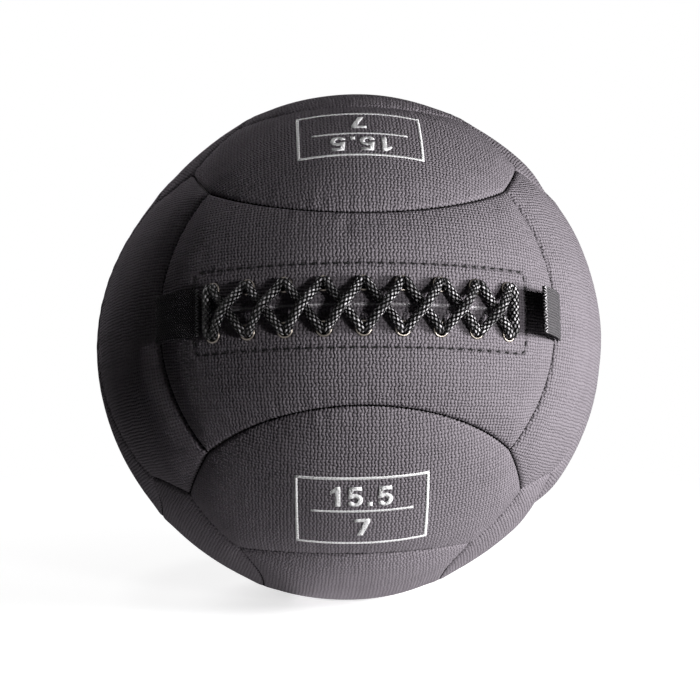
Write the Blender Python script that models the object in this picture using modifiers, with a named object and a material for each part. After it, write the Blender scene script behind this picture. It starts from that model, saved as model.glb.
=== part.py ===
"""Laced wall ball: a sewn cover of eighteen panels, laced shut over a liner, stuffing and a weighted core.

The ball is drawn about its own centre, with the laced panel facing -Y, and then leans back on its foot.
Places on the ball are given as azimuth and latitude in degrees, or as arc lengths across and up
from the middle of the laced panel, with a height above the crown of the cover.
"""
import math

import bmesh
import bpy
import numpy as np
from mathutils import Matrix, Vector

# The ball
BALL_RADIUS = 0.175
LEAN_BACK_DEG = 14.0
FOOT_RADIUS = 0.026
TOUCH_GAP = 0.0003
CUT_OVERRUN = 0.006
MERGE_GAP = 0.00001

# Cover panels
PANEL_THICKNESS = 0.003
SEAM_GAP = 0.0006
SEAM_DROP = 0.0025
SEAM_BAND = 0.028
CROWN_POWER = 2.2

# Corners where three panels meet, as azimuth and latitude in the front upper right eighth of the ball
LACED_CORNER_DEG = (40.3, 29.6)
THREE_WAY_CORNER_DEG = (55.0, 38.9)
BELT_CORNER_DEG = (70.2, 33.4)
CAP_CORNER_DEG = (53.0, 55.8)

# Middles of the seams between those corners
LACED_LONG_SEAM_DEG = (0.0, 20.8)
LACED_END_SEAM_DEG = (47.9, 0.0)
LACED_TO_THREE_WAY_DEG = (46.8, 34.0)
THREE_WAY_TO_BELT_DEG = (62.3, 35.7)
THREE_WAY_TO_CAP_DEG = (55.0, 47.5)
BELT_SIDE_SEAM_DEG = (81.6, 0.0)
BELT_END_SEAM_DEG = (90.0, 42.0)
CAP_FRONT_SEAM_DEG = (0.0, 59.6)
CAP_SIDE_SEAM_DEG = (90.0, 69.8)

# Where the stuffing has settled: azimuth, latitude and spread in degrees, and how deep
SETTLED_SPOTS_DEG = {"upper_left": (-76.0, 41.0, 28.0), "lower_right": (86.0, -49.0, 28.0)}
SETTLED_DEPTH = 0.0056

# Slit, facings and tongue of the laced panel
SLIT_WIDTH = 0.0006
SLIT_PAST_EYELET = 0.003
FACING_PAST_EYELET = 0.013
FACING_HEIGHT = 0.0285
FACING_THICKNESS = 0.0012
FACING_CLEARANCE = 0.0009
TONGUE_THICKNESS = 0.0012
TONGUE_HALF_WIDTH = 0.0225
TONGUE_PAST_EYELET = 0.009

# Eyelets
EYELET_COUNT = 9
UPPER_EYELET_ROW = 0.0134
LOWER_EYELET_ROW = -0.0148
EYELET_BORE_RADIUS = 0.0036
EYELET_WALL = 0.0005
EYELET_FLANGE = 0.0010
EYELET_FLANGE_THICKNESS = 0.0006
EYELET_SIDES = 8

# Lace
LACE_DIAMETER = 0.0054
LACE_DRAWN_DIAMETER = 0.0029
LACE_GAP = 0.0004
LACE_TURN_REACH = 0.0032
LACE_DEEP_DROP = 0.003
LACE_DEEP_BELLY = 0.0018
KNOT_SIZE = (0.011, 0.014, 0.0075)

# Pull tabs of folded webbing
TAB_LENGTH = 0.0368
TAB_WIDTH = 0.030
WEBBING_THICKNESS = 0.0013
TAB_LAYER_GAP = 0.0004
TAB_CLEARANCE = 0.0005
TAB_FROM_SEAM = 0.0015
TAB_TO_EYELET = 0.0034
RIGHT_TAB_LIFT_DEG = 24.0

# Liner, stuffing and weighted core
LINER_THICKNESS = 0.0012
LINER_CLEARANCE = 0.0012
STUFFING_CLEARANCE = 0.0005
POCKET_MARGIN = 0.003
CORE_RADIUS = 0.080
CORE_BAG_THICKNESS = 0.0012
CORE_CLEARANCE = 0.0005
CORE_NECK_RADIUS = 0.014
CORE_NECK_LENGTH = 0.012
CORE_TIE_RADIUS = 0.0018
HALVES_GAP = 0.0004

LEFT, RIGHT, FRONT, BACK, DOWN, UP = -1, 1, -1, 1, -1, 1
SIDE_NAMES = {LEFT: "left", RIGHT: "right"}
DEPTH_NAMES = {FRONT: "front", BACK: "back"}
LEVEL_NAMES = {DOWN: "bottom", UP: "top"}
EYELET_ROWS = {DOWN: LOWER_EYELET_ROW, UP: UPPER_EYELET_ROW}


# Scene and collections

for old in list(bpy.data.objects):
    bpy.data.objects.remove(old, do_unlink=True)


def new_collection(name):
    """A collection linked to the scene, made again if it is there."""
    old = bpy.data.collections.get(name)
    if old:
        bpy.data.collections.remove(old)
    made = bpy.data.collections.new(name)
    bpy.context.scene.collection.children.link(made)
    return made


PARTS = new_collection("wall_ball")
CUTTERS = new_collection("cutters")


def new_material(name, colour, roughness, metallic=0.0):
    """A Principled material; colour is linear red, green and blue."""
    made = bpy.data.materials.new(name)
    made.use_nodes = True
    shader = made.node_tree.nodes["Principled BSDF"]
    shader.inputs["Base Color"].default_value = (*colour, 1.0)
    shader.inputs["Roughness"].default_value = roughness
    shader.inputs["Metallic"].default_value = metallic
    made.diffuse_color = (*colour, 1.0)
    return made


def new_object(name, mesh, collection, parent=None, material=None):
    """An object for a mesh, linked, parented and given its material."""
    made = bpy.data.objects.new(name, mesh)
    collection.objects.link(made)
    made.parent = parent
    if material:
        mesh.materials.append(material)
    return made


def mesh_from(bm, name):
    """A mesh data block from a bmesh, which is freed."""
    mesh = bpy.data.meshes.new(name)
    bm.to_mesh(mesh)
    bm.free()
    return mesh


def as_cutter(made):
    """Marks an object as a cutter."""
    made.hide_render = True
    made.display_type = "WIRE"
    return made


def cut(target, cutter):
    """Cuts one object with another."""
    boolean = target.modifiers.new(f"cut_{cutter.name}", "BOOLEAN")
    boolean.operation = "DIFFERENCE"
    boolean.object = cutter


# The shape of the ball

CENTRE_HEIGHT = math.sqrt(BALL_RADIUS ** 2 - FOOT_RADIUS ** 2)
UNDER_COVER = SEAM_DROP + PANEL_THICKNESS


def on_ball(azimuth_deg, latitude_deg):
    """The direction of a place on the ball."""
    azimuth, latitude = math.radians(azimuth_deg), math.radians(latitude_deg)
    return np.array((math.sin(azimuth) * math.cos(latitude),
                     -math.cos(azimuth) * math.cos(latitude),
                     math.sin(latitude)))


def crown_radius(direction):
    """The cover's radius in a direction, before its seams are drawn in."""
    radius = BALL_RADIUS
    for azimuth_deg, latitude_deg, spread_deg in SETTLED_SPOTS_DEG.values():
        away = math.degrees(math.acos(np.clip(direction @ on_ball(azimuth_deg, latitude_deg), -1, 1)))
        radius -= SETTLED_DEPTH * math.exp(-(away / spread_deg) ** 2)
    return radius


def at(direction, height):
    """The point at a height above the crown of the cover."""
    return Vector(direction * (crown_radius(direction) + height))


def across(x_arc, z_arc):
    """The direction at arc lengths across and up from the middle of the laced panel."""
    return on_ball(math.degrees(x_arc / BALL_RADIUS), math.degrees(z_arc / BALL_RADIUS))


def arc_point(x_arc, z_arc, height):
    """The point at arc lengths across and up, and a height above the crown."""
    return at(across(x_arc, z_arc), height)


def crown_drop(reach):
    """How far the cover lies below its crown at a distance from the seam."""
    return SEAM_DROP * max(0.0, 1 - reach / SEAM_BAND) ** CROWN_POWER


# Seams and panel outlines

def mirrored(place_deg, side, depth, level):
    """A place of the front upper right eighth, moved into another eighth of the ball."""
    first = np.abs(on_ball(*place_deg))
    return first * np.array((side, depth, level))


def seam_arc(start, middle, end, steps):
    """Directions along the circle on the ball through three directions, without the last one."""
    normal = np.cross(middle - start, end - start)
    normal /= np.linalg.norm(normal)
    hub = normal * (normal @ start)
    across_hub = start - hub
    radius = np.linalg.norm(across_hub)
    axis_u = across_hub / radius
    axis_v = np.cross(normal, axis_u)
    turn = math.atan2((end - hub) @ axis_v, (end - hub) @ axis_u) % (2 * math.pi)
    angles = np.linspace(0, turn, steps, endpoint=False)
    return [hub + radius * (math.cos(a) * axis_u + math.sin(a) * axis_v) for a in angles]


# Steps along each kind of seam
LACED_LONG_STEPS = 8
LACED_END_STEPS = 6
SHORT_STEPS = 2
BELT_SIDE_STEPS = 6
BELT_END_STEPS = 4
CAP_FRONT_STEPS = 6
CAP_SIDE_STEPS = 4


def outline_of(stops):
    """Directions round a panel; stops are corner, middle of the next seam, and its steps."""
    points = []
    for index, (corner, middle, steps) in enumerate(stops):
        following = stops[(index + 1) % len(stops)][0]
        points += seam_arc(corner, middle, following, steps)
    return points


def laced_outline(depth):
    """The front and back panels: long seams above and below, short ends that bulge."""
    def corner(side, level):
        return mirrored(LACED_CORNER_DEG, side, depth, level)
    top = mirrored(LACED_LONG_SEAM_DEG, RIGHT, depth, UP)
    bottom = mirrored(LACED_LONG_SEAM_DEG, RIGHT, depth, DOWN)
    left = mirrored(LACED_END_SEAM_DEG, LEFT, depth, UP)
    right = mirrored(LACED_END_SEAM_DEG, RIGHT, depth, UP)
    return outline_of([(corner(LEFT, UP), top, LACED_LONG_STEPS), (corner(RIGHT, UP), right, LACED_END_STEPS),
                       (corner(RIGHT, DOWN), bottom, LACED_LONG_STEPS),
                       (corner(LEFT, DOWN), left, LACED_END_STEPS)])


def flank_outline(side, depth):
    """The panels beside the laced panel, between it and the belt."""
    def stop(corner_deg, middle_deg, level, steps):
        return mirrored(corner_deg, side, depth, level), mirrored(middle_deg, side, depth, level), steps
    return outline_of([
        stop(LACED_CORNER_DEG, LACED_END_SEAM_DEG, UP, LACED_END_STEPS),
        stop(LACED_CORNER_DEG, LACED_TO_THREE_WAY_DEG, DOWN, SHORT_STEPS),
        stop(THREE_WAY_CORNER_DEG, THREE_WAY_TO_BELT_DEG, DOWN, SHORT_STEPS),
        stop(BELT_CORNER_DEG, BELT_SIDE_SEAM_DEG, DOWN, BELT_SIDE_STEPS),
        stop(BELT_CORNER_DEG, THREE_WAY_TO_BELT_DEG, UP, SHORT_STEPS),
        stop(THREE_WAY_CORNER_DEG, LACED_TO_THREE_WAY_DEG, UP, SHORT_STEPS)])


def oval_outline(depth, level):
    """The ovals above and below the laced panel."""
    def stop(corner_deg, middle_deg, side, steps):
        return mirrored(corner_deg, side, depth, level), mirrored(middle_deg, side, depth, level), steps
    return outline_of([
        stop(LACED_CORNER_DEG, LACED_LONG_SEAM_DEG, LEFT, LACED_LONG_STEPS),
        stop(LACED_CORNER_DEG, LACED_TO_THREE_WAY_DEG, RIGHT, SHORT_STEPS),
        stop(THREE_WAY_CORNER_DEG, THREE_WAY_TO_CAP_DEG, RIGHT, SHORT_STEPS),
        stop(CAP_CORNER_DEG, CAP_FRONT_SEAM_DEG, RIGHT, CAP_FRONT_STEPS),
        stop(CAP_CORNER_DEG, THREE_WAY_TO_CAP_DEG, LEFT, SHORT_STEPS),
        stop(THREE_WAY_CORNER_DEG, LACED_TO_THREE_WAY_DEG, LEFT, SHORT_STEPS)])


def shoulder_outline(side, level):
    """The round panels between the belt panels and the caps."""
    def stop(corner_deg, middle_deg, depth, steps):
        return mirrored(corner_deg, side, depth, level), mirrored(middle_deg, side, depth, level), steps
    return outline_of([
        stop(THREE_WAY_CORNER_DEG, THREE_WAY_TO_BELT_DEG, FRONT, SHORT_STEPS),
        stop(BELT_CORNER_DEG, BELT_END_SEAM_DEG, FRONT, BELT_END_STEPS),
        stop(BELT_CORNER_DEG, THREE_WAY_TO_BELT_DEG, BACK, SHORT_STEPS),
        stop(THREE_WAY_CORNER_DEG, THREE_WAY_TO_CAP_DEG, BACK, SHORT_STEPS),
        stop(CAP_CORNER_DEG, CAP_SIDE_SEAM_DEG, BACK, CAP_SIDE_STEPS),
        stop(CAP_CORNER_DEG, THREE_WAY_TO_CAP_DEG, FRONT, SHORT_STEPS)])


def belt_outline(side):
    """The slim panels on the left and right of the ball."""
    def stop(middle_deg, depth, level, middle_depth, middle_level, steps):
        return (mirrored(BELT_CORNER_DEG, side, depth, level),
                mirrored(middle_deg, side, middle_depth, middle_level), steps)
    return outline_of([stop(BELT_SIDE_SEAM_DEG, FRONT, UP, FRONT, UP, BELT_SIDE_STEPS),
                       stop(BELT_END_SEAM_DEG, FRONT, DOWN, FRONT, DOWN, BELT_END_STEPS),
                       stop(BELT_SIDE_SEAM_DEG, BACK, DOWN, BACK, UP, BELT_SIDE_STEPS),
                       stop(BELT_END_SEAM_DEG, BACK, UP, BACK, UP, BELT_END_STEPS)])


def cap_outline(level):
    """The top and bottom panels."""
    def stop(middle_deg, side, depth, middle_side, middle_depth, steps):
        return (mirrored(CAP_CORNER_DEG, side, depth, level),
                mirrored(middle_deg, middle_side, middle_depth, level), steps)
    return outline_of([stop(CAP_FRONT_SEAM_DEG, LEFT, FRONT, RIGHT, FRONT, CAP_FRONT_STEPS),
                       stop(CAP_SIDE_SEAM_DEG, RIGHT, FRONT, RIGHT, FRONT, CAP_SIDE_STEPS),
                       stop(CAP_FRONT_SEAM_DEG, RIGHT, BACK, RIGHT, BACK, CAP_FRONT_STEPS),
                       stop(CAP_SIDE_SEAM_DEG, LEFT, BACK, LEFT, FRONT, CAP_SIDE_STEPS)])


def midway(first_deg, second_deg):
    """The direction halfway between two places."""
    both = on_ball(*first_deg) + on_ball(*second_deg)
    return both / np.linalg.norm(both)


# Rings from a panel's middle to its rim, as shares of the way
FINE_RING_SHARES = (0, 0.18, 0.36, 0.54, 0.70, 0.83, 0.93, 1)
LONG_RING_SHARES = (0, 0.25, 0.5, 0.75, 0.91, 1)
ROUND_RING_SHARES = (0, 0.36, 0.68, 0.89, 1)


def cover_panels():
    """Every cover panel: its name, middle direction, outline and rings."""
    flank_middle = midway(LACED_END_SEAM_DEG, BELT_SIDE_SEAM_DEG)
    oval_middle = midway(LACED_LONG_SEAM_DEG, CAP_FRONT_SEAM_DEG)
    shoulder_middle = midway(BELT_END_SEAM_DEG, CAP_SIDE_SEAM_DEG)
    panels = [("front_panel", np.array((0, FRONT, 0)), laced_outline(FRONT), FINE_RING_SHARES),
              ("back_panel", np.array((0, BACK, 0)), laced_outline(BACK), LONG_RING_SHARES)]
    for side, side_name in SIDE_NAMES.items():
        panels.append((f"{side_name}_panel", np.array((side, 0, 0)), belt_outline(side), LONG_RING_SHARES))
        for depth, depth_name in DEPTH_NAMES.items():
            middle = np.abs(flank_middle) * np.array((side, depth, 0))
            panels.append((f"{depth_name}_{side_name}_panel", middle, flank_outline(side, depth),
                           ROUND_RING_SHARES))
        for level, level_name in LEVEL_NAMES.items():
            middle = np.abs(shoulder_middle) * np.array((side, 0, level))
            panels.append((f"{side_name}_{level_name}_panel", middle, shoulder_outline(side, level),
                           ROUND_RING_SHARES))
    for level, level_name in LEVEL_NAMES.items():
        panels.append((f"{level_name}_panel", np.array((0, 0, level)), cap_outline(level),
                       ROUND_RING_SHARES))
        for depth, depth_name in DEPTH_NAMES.items():
            middle = np.abs(oval_middle) * np.array((0, depth, level))
            panels.append((f"{depth_name}_{level_name}_panel", middle, oval_outline(depth, level),
                           LONG_RING_SHARES))
    return panels


def drawn_in(outline, middle):
    """The outline moved in from the seam by half the seam gap."""
    moved = []
    count = len(outline)
    for index, point in enumerate(outline):
        along = outline[(index + 1) % count] - outline[index - 1]
        inward = np.cross(point, along)
        inward /= np.linalg.norm(inward)
        if inward @ (middle - point) < 0:
            inward = -inward
        shifted = point + inward * (SEAM_GAP / 2 / BALL_RADIUS)
        moved.append(shifted / np.linalg.norm(shifted))
    return moved


def toward(middle, rim_point, share):
    """The direction a share of the way along the great circle from the middle to the rim."""
    turn = math.acos(np.clip(middle @ rim_point, -1, 1))
    return (math.sin((1 - share) * turn) * middle + math.sin(share * turn) * rim_point) / math.sin(turn)


def spun_disc(shares, segments):
    """A unit disc, spun from a line, as a bmesh."""
    bm = bmesh.new()
    line = [bm.verts.new((share, 0, 0)) for share in shares]
    edges = [bm.edges.new(pair) for pair in zip(line, line[1:])]
    bmesh.ops.spin(bm, geom=line + edges, cent=(0, 0, 0), axis=(0, 0, 1), dvec=(0, 0, 0),
                   angle=2 * math.pi, steps=segments, use_merge=True)
    bmesh.ops.remove_doubles(bm, verts=bm.verts, dist=min(np.diff(shares)) / segments)
    return bm


def make_panel(name, middle, outline, shares):
    """A cover panel: a disc laid on the ball, its rim drawn down into the seams."""
    middle = middle / np.linalg.norm(middle)
    rim = drawn_in(outline, middle)
    bm = spun_disc(shares, len(rim))
    step = 2 * math.pi / len(rim)
    for vert in bm.verts:
        share = math.hypot(vert.co.x, vert.co.y)
        index = round(math.atan2(vert.co.y, vert.co.x) / step) % len(rim)
        direction = middle if share < min(shares[1:]) / 2 else toward(middle, rim[index], share)
        reach = math.acos(np.clip(direction @ rim[index], -1, 1)) * BALL_RADIUS
        vert.co = at(direction, -crown_drop(reach))
    bm.normal_update()
    if sum(face.normal.dot(face.calc_center_median()) for face in bm.faces) < 0:
        bmesh.ops.reverse_faces(bm, faces=bm.faces)
    made = new_object(name, mesh_from(bm, name), PARTS, BALL, COVER_FABRIC)
    wall = made.modifiers.new("wall", "SOLIDIFY")
    wall.thickness = PANEL_THICKNESS
    made.data.shade_smooth()
    return made


def laced_panel_reach(direction):
    """How far a direction lies from the laced panel's rim, on the line from the panel's middle."""
    outline = np.array(laced_outline(FRONT))
    bearings = np.arctan2(outline[:, 2], outline[:, 0])
    turns = np.arccos(np.clip(-outline[:, 1], -1, 1))
    bearing = math.atan2(direction[2], direction[0])
    rim_turn = np.interp(bearing, *zip(*sorted(zip(bearings, turns))), period=2 * math.pi)
    return max(0.0, rim_turn - math.acos(np.clip(-direction[1], -1, 1))) * BALL_RADIUS


def panel_point(x_arc, z_arc, height):
    """The point over the laced panel's own surface, at arc lengths across and up."""
    direction = across(x_arc, z_arc)
    return at(direction, height - crown_drop(laced_panel_reach(direction)))


def curved_slab(name, x_half, z_low, z_high, top_height, thickness, collection, material=None,
                x_steps=10, z_steps=3):
    """A slab that follows the laced panel, between two heights of its edge and down from a height."""
    bm = bmesh.new()
    bmesh.ops.create_grid(bm, x_segments=x_steps, y_segments=z_steps, size=1)
    for vert in bm.verts:
        z_arc = z_low + (z_high - z_low) * (vert.co.y + 1) / 2
        vert.co = panel_point(x_half * vert.co.x, z_arc, top_height)
    bm.normal_update()
    if sum(face.normal.dot(face.calc_center_median()) for face in bm.faces) < 0:
        bmesh.ops.reverse_faces(bm, faces=bm.faces)
    made = new_object(name, mesh_from(bm, name), collection, BALL, material)
    wall = made.modifiers.new("wall", "SOLIDIFY")
    wall.thickness = thickness
    return made


# Heights that pieces under the laced panel share

FACING_TOP = -(PANEL_THICKNESS + FACING_CLEARANCE)
FACING_BOTTOM = FACING_TOP - FACING_THICKNESS
DRAWN_RADIUS = LACE_DRAWN_DIAMETER / 2
LACE_RADIUS = LACE_DIAMETER / 2
SHALLOW_HEIGHT = FACING_BOTTOM - LACE_GAP - DRAWN_RADIUS
DEEP_HEIGHT = SHALLOW_HEIGHT - LACE_DEEP_DROP
LACE_LOWEST = DEEP_HEIGHT - LACE_DEEP_BELLY - DRAWN_RADIUS
TONGUE_TOP = LACE_LOWEST - LACE_GAP
TONGUE_BOTTOM = TONGUE_TOP - TONGUE_THICKNESS
POCKET_FLOOR = TONGUE_BOTTOM - LACE_GAP
FLANGE_BOTTOM = TOUCH_GAP
FLANGE_TOP = FLANGE_BOTTOM + EYELET_FLANGE_THICKNESS
EYELET_OUTER_RADIUS = EYELET_BORE_RADIUS + EYELET_WALL
TAB_ROOT = math.radians(LACED_END_SEAM_DEG[0]) * BALL_RADIUS - TAB_FROM_SEAM
TAB_STACK_HALF = WEBBING_THICKNESS + TAB_LAYER_GAP / 2
FIRST_EYELET = TAB_ROOT - TAB_LENGTH - TAB_STACK_HALF - TAB_TO_EYELET - EYELET_OUTER_RADIUS - EYELET_FLANGE
EYELET_PITCH = 2 * FIRST_EYELET / (EYELET_COUNT - 1)
EYELET_HOLE_RADIUS = EYELET_OUTER_RADIUS + TOUCH_GAP
LINER_RADIUS = BALL_RADIUS - UNDER_COVER - LINER_CLEARANCE
STUFFING_RADIUS = LINER_RADIUS - LINER_THICKNESS - STUFFING_CLEARANCE


def eyelet_columns():
    """Arc lengths across to each column of eyelets, left to right."""
    return [-FIRST_EYELET + EYELET_PITCH * index for index in range(EYELET_COUNT)]


def local_frame(x_arc, z_arc):
    """A matrix at a place on the laced panel: X across, Y up and Z out of the ball."""
    out = Vector(across(x_arc, z_arc))
    sideways = Vector((0, 0, 1)).cross(out).normalized()
    upward = out.cross(sideways)
    turned = Matrix((sideways, upward, out)).transposed().to_4x4()
    return Matrix.Translation(arc_point(x_arc, z_arc, 0)) @ turned


# Pieces at the laced panel

def eyelet_mesh():
    """An eyelet about its own Z: a barrel with a flange that lies on the cover, spun from its profile."""
    profile = [(EYELET_BORE_RADIUS, FACING_BOTTOM), (EYELET_BORE_RADIUS, FLANGE_TOP),
               (EYELET_OUTER_RADIUS + EYELET_FLANGE, FLANGE_TOP),
               (EYELET_OUTER_RADIUS + EYELET_FLANGE, FLANGE_BOTTOM),
               (EYELET_OUTER_RADIUS, FLANGE_BOTTOM), (EYELET_OUTER_RADIUS, FACING_BOTTOM)]
    bm = bmesh.new()
    ring = [bm.verts.new((radius, 0, height)) for radius, height in profile]
    edges = [bm.edges.new(pair) for pair in zip(ring, ring[1:] + ring[:1])]
    bmesh.ops.spin(bm, geom=ring + edges, cent=(0, 0, 0), axis=(0, 0, 1), dvec=(0, 0, 0),
                   angle=2 * math.pi, steps=EYELET_SIDES, use_merge=True)
    bmesh.ops.recalc_face_normals(bm, faces=bm.faces)
    mesh = mesh_from(bm, "eyelet")
    mesh.materials.append(EYELET_METAL)
    return mesh


def make_eyelets(row_name, z_arc, mesh):
    """A row of eyelets, numbered from left to right."""
    for index, x_arc in enumerate(eyelet_columns()):
        made = new_object(f"{row_name}_eyelet_{index + 1}", mesh, PARTS, BALL)
        made.matrix_local = local_frame(x_arc, z_arc)


def make_eyelet_cutter():
    """Every eyelet's hole, as one cutter."""
    bm = bmesh.new()
    depth = FLANGE_BOTTOM - FACING_BOTTOM + 2 * CUT_OVERRUN
    middle = (FLANGE_BOTTOM + FACING_BOTTOM) / 2
    for z_arc in EYELET_ROWS.values():
        for x_arc in eyelet_columns():
            placed = local_frame(x_arc, z_arc) @ Matrix.Translation((0, 0, middle))
            quarter = Matrix.Rotation(math.pi / 2, 4, "Z")
            bmesh.ops.create_cone(bm, cap_ends=True, segments=EYELET_SIDES, radius1=EYELET_HOLE_RADIUS,
                                  radius2=EYELET_HOLE_RADIUS, depth=depth, matrix=placed @ quarter)
    return as_cutter(new_object("eyelet_cutter", mesh_from(bm, "eyelet_cutter"), CUTTERS, BALL))


def make_slit_cutter():
    """The slit along the middle of the laced panel."""
    half = FIRST_EYELET + SLIT_PAST_EYELET
    made = curved_slab("slit_cutter", half, -SLIT_WIDTH / 2, SLIT_WIDTH / 2, CUT_OVERRUN,
                       PANEL_THICKNESS + 2 * CUT_OVERRUN, CUTTERS, x_steps=12, z_steps=1)
    return as_cutter(made)


# The lace's route: (arc across, arc up, height, thickness as a share of the full lace)

DRAWN_SHARE = LACE_DRAWN_DIAMETER / LACE_DIAMETER
LIP_THICKENING_SHARE = 0.25
LIP_DRAWN_SHARE = DRAWN_SHARE + LIP_THICKENING_SHARE * (1 - DRAWN_SHARE)
STRAND_OFFSET = DRAWN_RADIUS + LACE_GAP / 2
REST_HEIGHT = FLANGE_TOP + TOUCH_GAP + LACE_RADIUS
LOW_HEIGHT = TOUCH_GAP + LACE_RADIUS
CROSSING_HEIGHT = LOW_HEIGHT + LACE_DIAMETER + LACE_GAP
LIP_SHARE = 0.45


def hole(column, row, side):
    """The place of a strand in an eyelet; side is the half of the hole that it uses."""
    return eyelet_columns()[column] + side * STRAND_OFFSET, EYELET_ROWS[row]


def between(start, end, share):
    """A place a share of the way between two places."""
    return start[0] + (end[0] - start[0]) * share, start[1] + (end[1] - start[1]) * share


def over(start, end, is_upper):
    """A strand over the slit, from one hole up and across to another and down into it."""
    length = math.dist(start, end)
    turn_share = LACE_TURN_REACH / length
    route = [(*start, FACING_TOP, DRAWN_SHARE), (*start, REST_HEIGHT * LIP_SHARE, LIP_DRAWN_SHARE),
             (*between(start, end, turn_share), REST_HEIGHT, 1)]
    route.append((*between(start, end, 0.5), CROSSING_HEIGHT if is_upper else LOW_HEIGHT, 1))
    route += [(*between(start, end, 1 - turn_share), REST_HEIGHT, 1),
              (*end, REST_HEIGHT * LIP_SHARE, LIP_DRAWN_SHARE), (*end, FACING_TOP, DRAWN_SHARE)]
    return route


def under(start, end, height, belly):
    """A drawn strand under the facings, from one hole down to the other."""
    length = math.dist(start, end)
    turn_share = DRAWN_RADIUS / length
    corner = height + DRAWN_RADIUS
    return [(*start, corner, DRAWN_SHARE), (*between(start, end, turn_share), height, DRAWN_SHARE),
            (*between(start, end, 0.5), height - belly, DRAWN_SHARE),
            (*between(start, end, 1 - turn_share), height, DRAWN_SHARE), (*end, corner, DRAWN_SHARE)]


def knot_place():
    """Where the knot lies: between the first two columns, in the middle of the height left for it."""
    return -FIRST_EYELET + EYELET_PITCH / 2, 0.0, (FACING_BOTTOM + TONGUE_TOP) / 2


def tail(row, side, depth_height):
    """A lace end, from the knot to a hole of the first column."""
    start_x, start_z = hole(0, row, side)
    knot_x, knot_z, knot_height = knot_place()
    end = (knot_x, knot_z + row * (KNOT_SIZE[1] / 2 + TOUCH_GAP))
    run_in = (knot_x, end[1] + row * LACE_DRAWN_DIAMETER)
    start = (start_x, start_z)
    return [(*start, depth_height + DRAWN_RADIUS, DRAWN_SHARE),
            (*between(start, run_in, DRAWN_RADIUS / EYELET_PITCH), depth_height, DRAWN_SHARE),
            (*between(start, run_in, 0.5), depth_height, DRAWN_SHARE),
            (*run_in, knot_height, DRAWN_SHARE), (*end, knot_height, DRAWN_SHARE)]


def lace_route():
    """The whole lace: upper strands to the right, then lower strands back to the left."""
    last = EYELET_COUNT - 1
    route = tail(DOWN, RIGHT, SHALLOW_HEIGHT)[::-1]
    for column in range(last):
        route += over(hole(column, DOWN, RIGHT), hole(column + 1, UP, LEFT), True)
        route += under(hole(column + 1, UP, LEFT), hole(column + 1, DOWN, RIGHT), DEEP_HEIGHT,
                       LACE_DEEP_BELLY)
    route += over(hole(last, DOWN, RIGHT), hole(last, UP, RIGHT), False)
    for column in range(last, 0, -1):
        route += under(hole(column, UP, RIGHT), hole(column, DOWN, LEFT), SHALLOW_HEIGHT, 0)
        route += over(hole(column, DOWN, LEFT), hole(column - 1, UP, RIGHT), False)
    route += under(hole(0, UP, RIGHT), hole(0, DOWN, LEFT), SHALLOW_HEIGHT, 0)
    route += over(hole(0, DOWN, LEFT), hole(0, UP, LEFT), False)
    route += tail(UP, LEFT, DEEP_HEIGHT - LACE_GAP)
    return route


def make_lace():
    """The lace: one closed tube along its route."""
    route = lace_route()
    curve = bpy.data.curves.new("lace", "CURVE")
    curve.dimensions = "3D"
    curve.bevel_depth = LACE_RADIUS
    curve.bevel_resolution = 2
    curve.use_fill_caps = True
    spline = curve.splines.new("POLY")
    spline.points.add(len(route) - 1)
    for point, (x_arc, z_arc, height, share) in zip(spline.points, route):
        point.co = (*arc_point(x_arc, z_arc, height), 1)
        point.radius = share
    return new_object("lace", curve, PARTS, BALL, LACE_CORD)


def make_knot():
    """The knot that joins the lace's two ends, under the facings."""
    x_arc, z_arc, height = knot_place()
    bm = bmesh.new()
    sized = Matrix.Diagonal((*(size / 2 for size in KNOT_SIZE), 1))
    placed = local_frame(x_arc, z_arc) @ Matrix.Translation((0, 0, height)) @ sized
    bmesh.ops.create_icosphere(bm, subdivisions=2, radius=1, matrix=placed)
    return new_object("lace_knot", mesh_from(bm, "lace_knot"), PARTS, BALL, LACE_CORD)


# Pull tabs

TAB_STEPS = 8


def tab_middle_height(x_arc):
    """Height of the middle between a tab's two layers when it lies flat."""
    return TAB_CLEARANCE + TAB_STACK_HALF - crown_drop(laced_panel_reach(across(x_arc, 0)))


def make_tab(name, side, lift_deg):
    """A folded tab of webbing: one strip out to its fold and back, turned about its root."""
    root = TAB_ROOT
    layer = (WEBBING_THICKNESS + TAB_LAYER_GAP) / 2
    stations = [root - TAB_LENGTH * index / TAB_STEPS for index in range(TAB_STEPS + 1)]
    path = [(x, tab_middle_height(x) + layer) for x in stations]
    path.append((stations[-1] - layer, tab_middle_height(stations[-1])))
    path += [(x, tab_middle_height(x) - layer) for x in reversed(stations)]
    axis = at(across(side * root, 0), tab_middle_height(root))
    bm = bmesh.new()
    line = [bm.verts.new(arc_point(side * x, 0, height) - axis) for x, height in path]
    for vert in line:
        vert.co.z = -TAB_WIDTH / 2
    edges = [bm.edges.new(pair) for pair in zip(line, line[1:])]
    grown = bmesh.ops.extrude_edge_only(bm, edges=edges)
    lifted = [item for item in grown["geom"] if isinstance(item, bmesh.types.BMVert)]
    bmesh.ops.translate(bm, vec=(0, 0, TAB_WIDTH), verts=lifted)
    hinge = bpy.data.objects.new(f"{name}_hinge", None)
    PARTS.objects.link(hinge)
    hinge.parent = BALL
    hinge.location = axis
    hinge.rotation_euler = (0, 0, side * math.radians(lift_deg))
    made = new_object(name, mesh_from(bm, name), PARTS, hinge, WEBBING)
    wall = made.modifiers.new("wall", "SOLIDIFY")
    wall.thickness = WEBBING_THICKNESS
    wall.offset = 0
    return made


# Liner, stuffing and core

SHELL_SEGMENTS = 24
SHELL_RINGS = 12
CORE_SEGMENTS = 14
CORE_RINGS = 8


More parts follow.
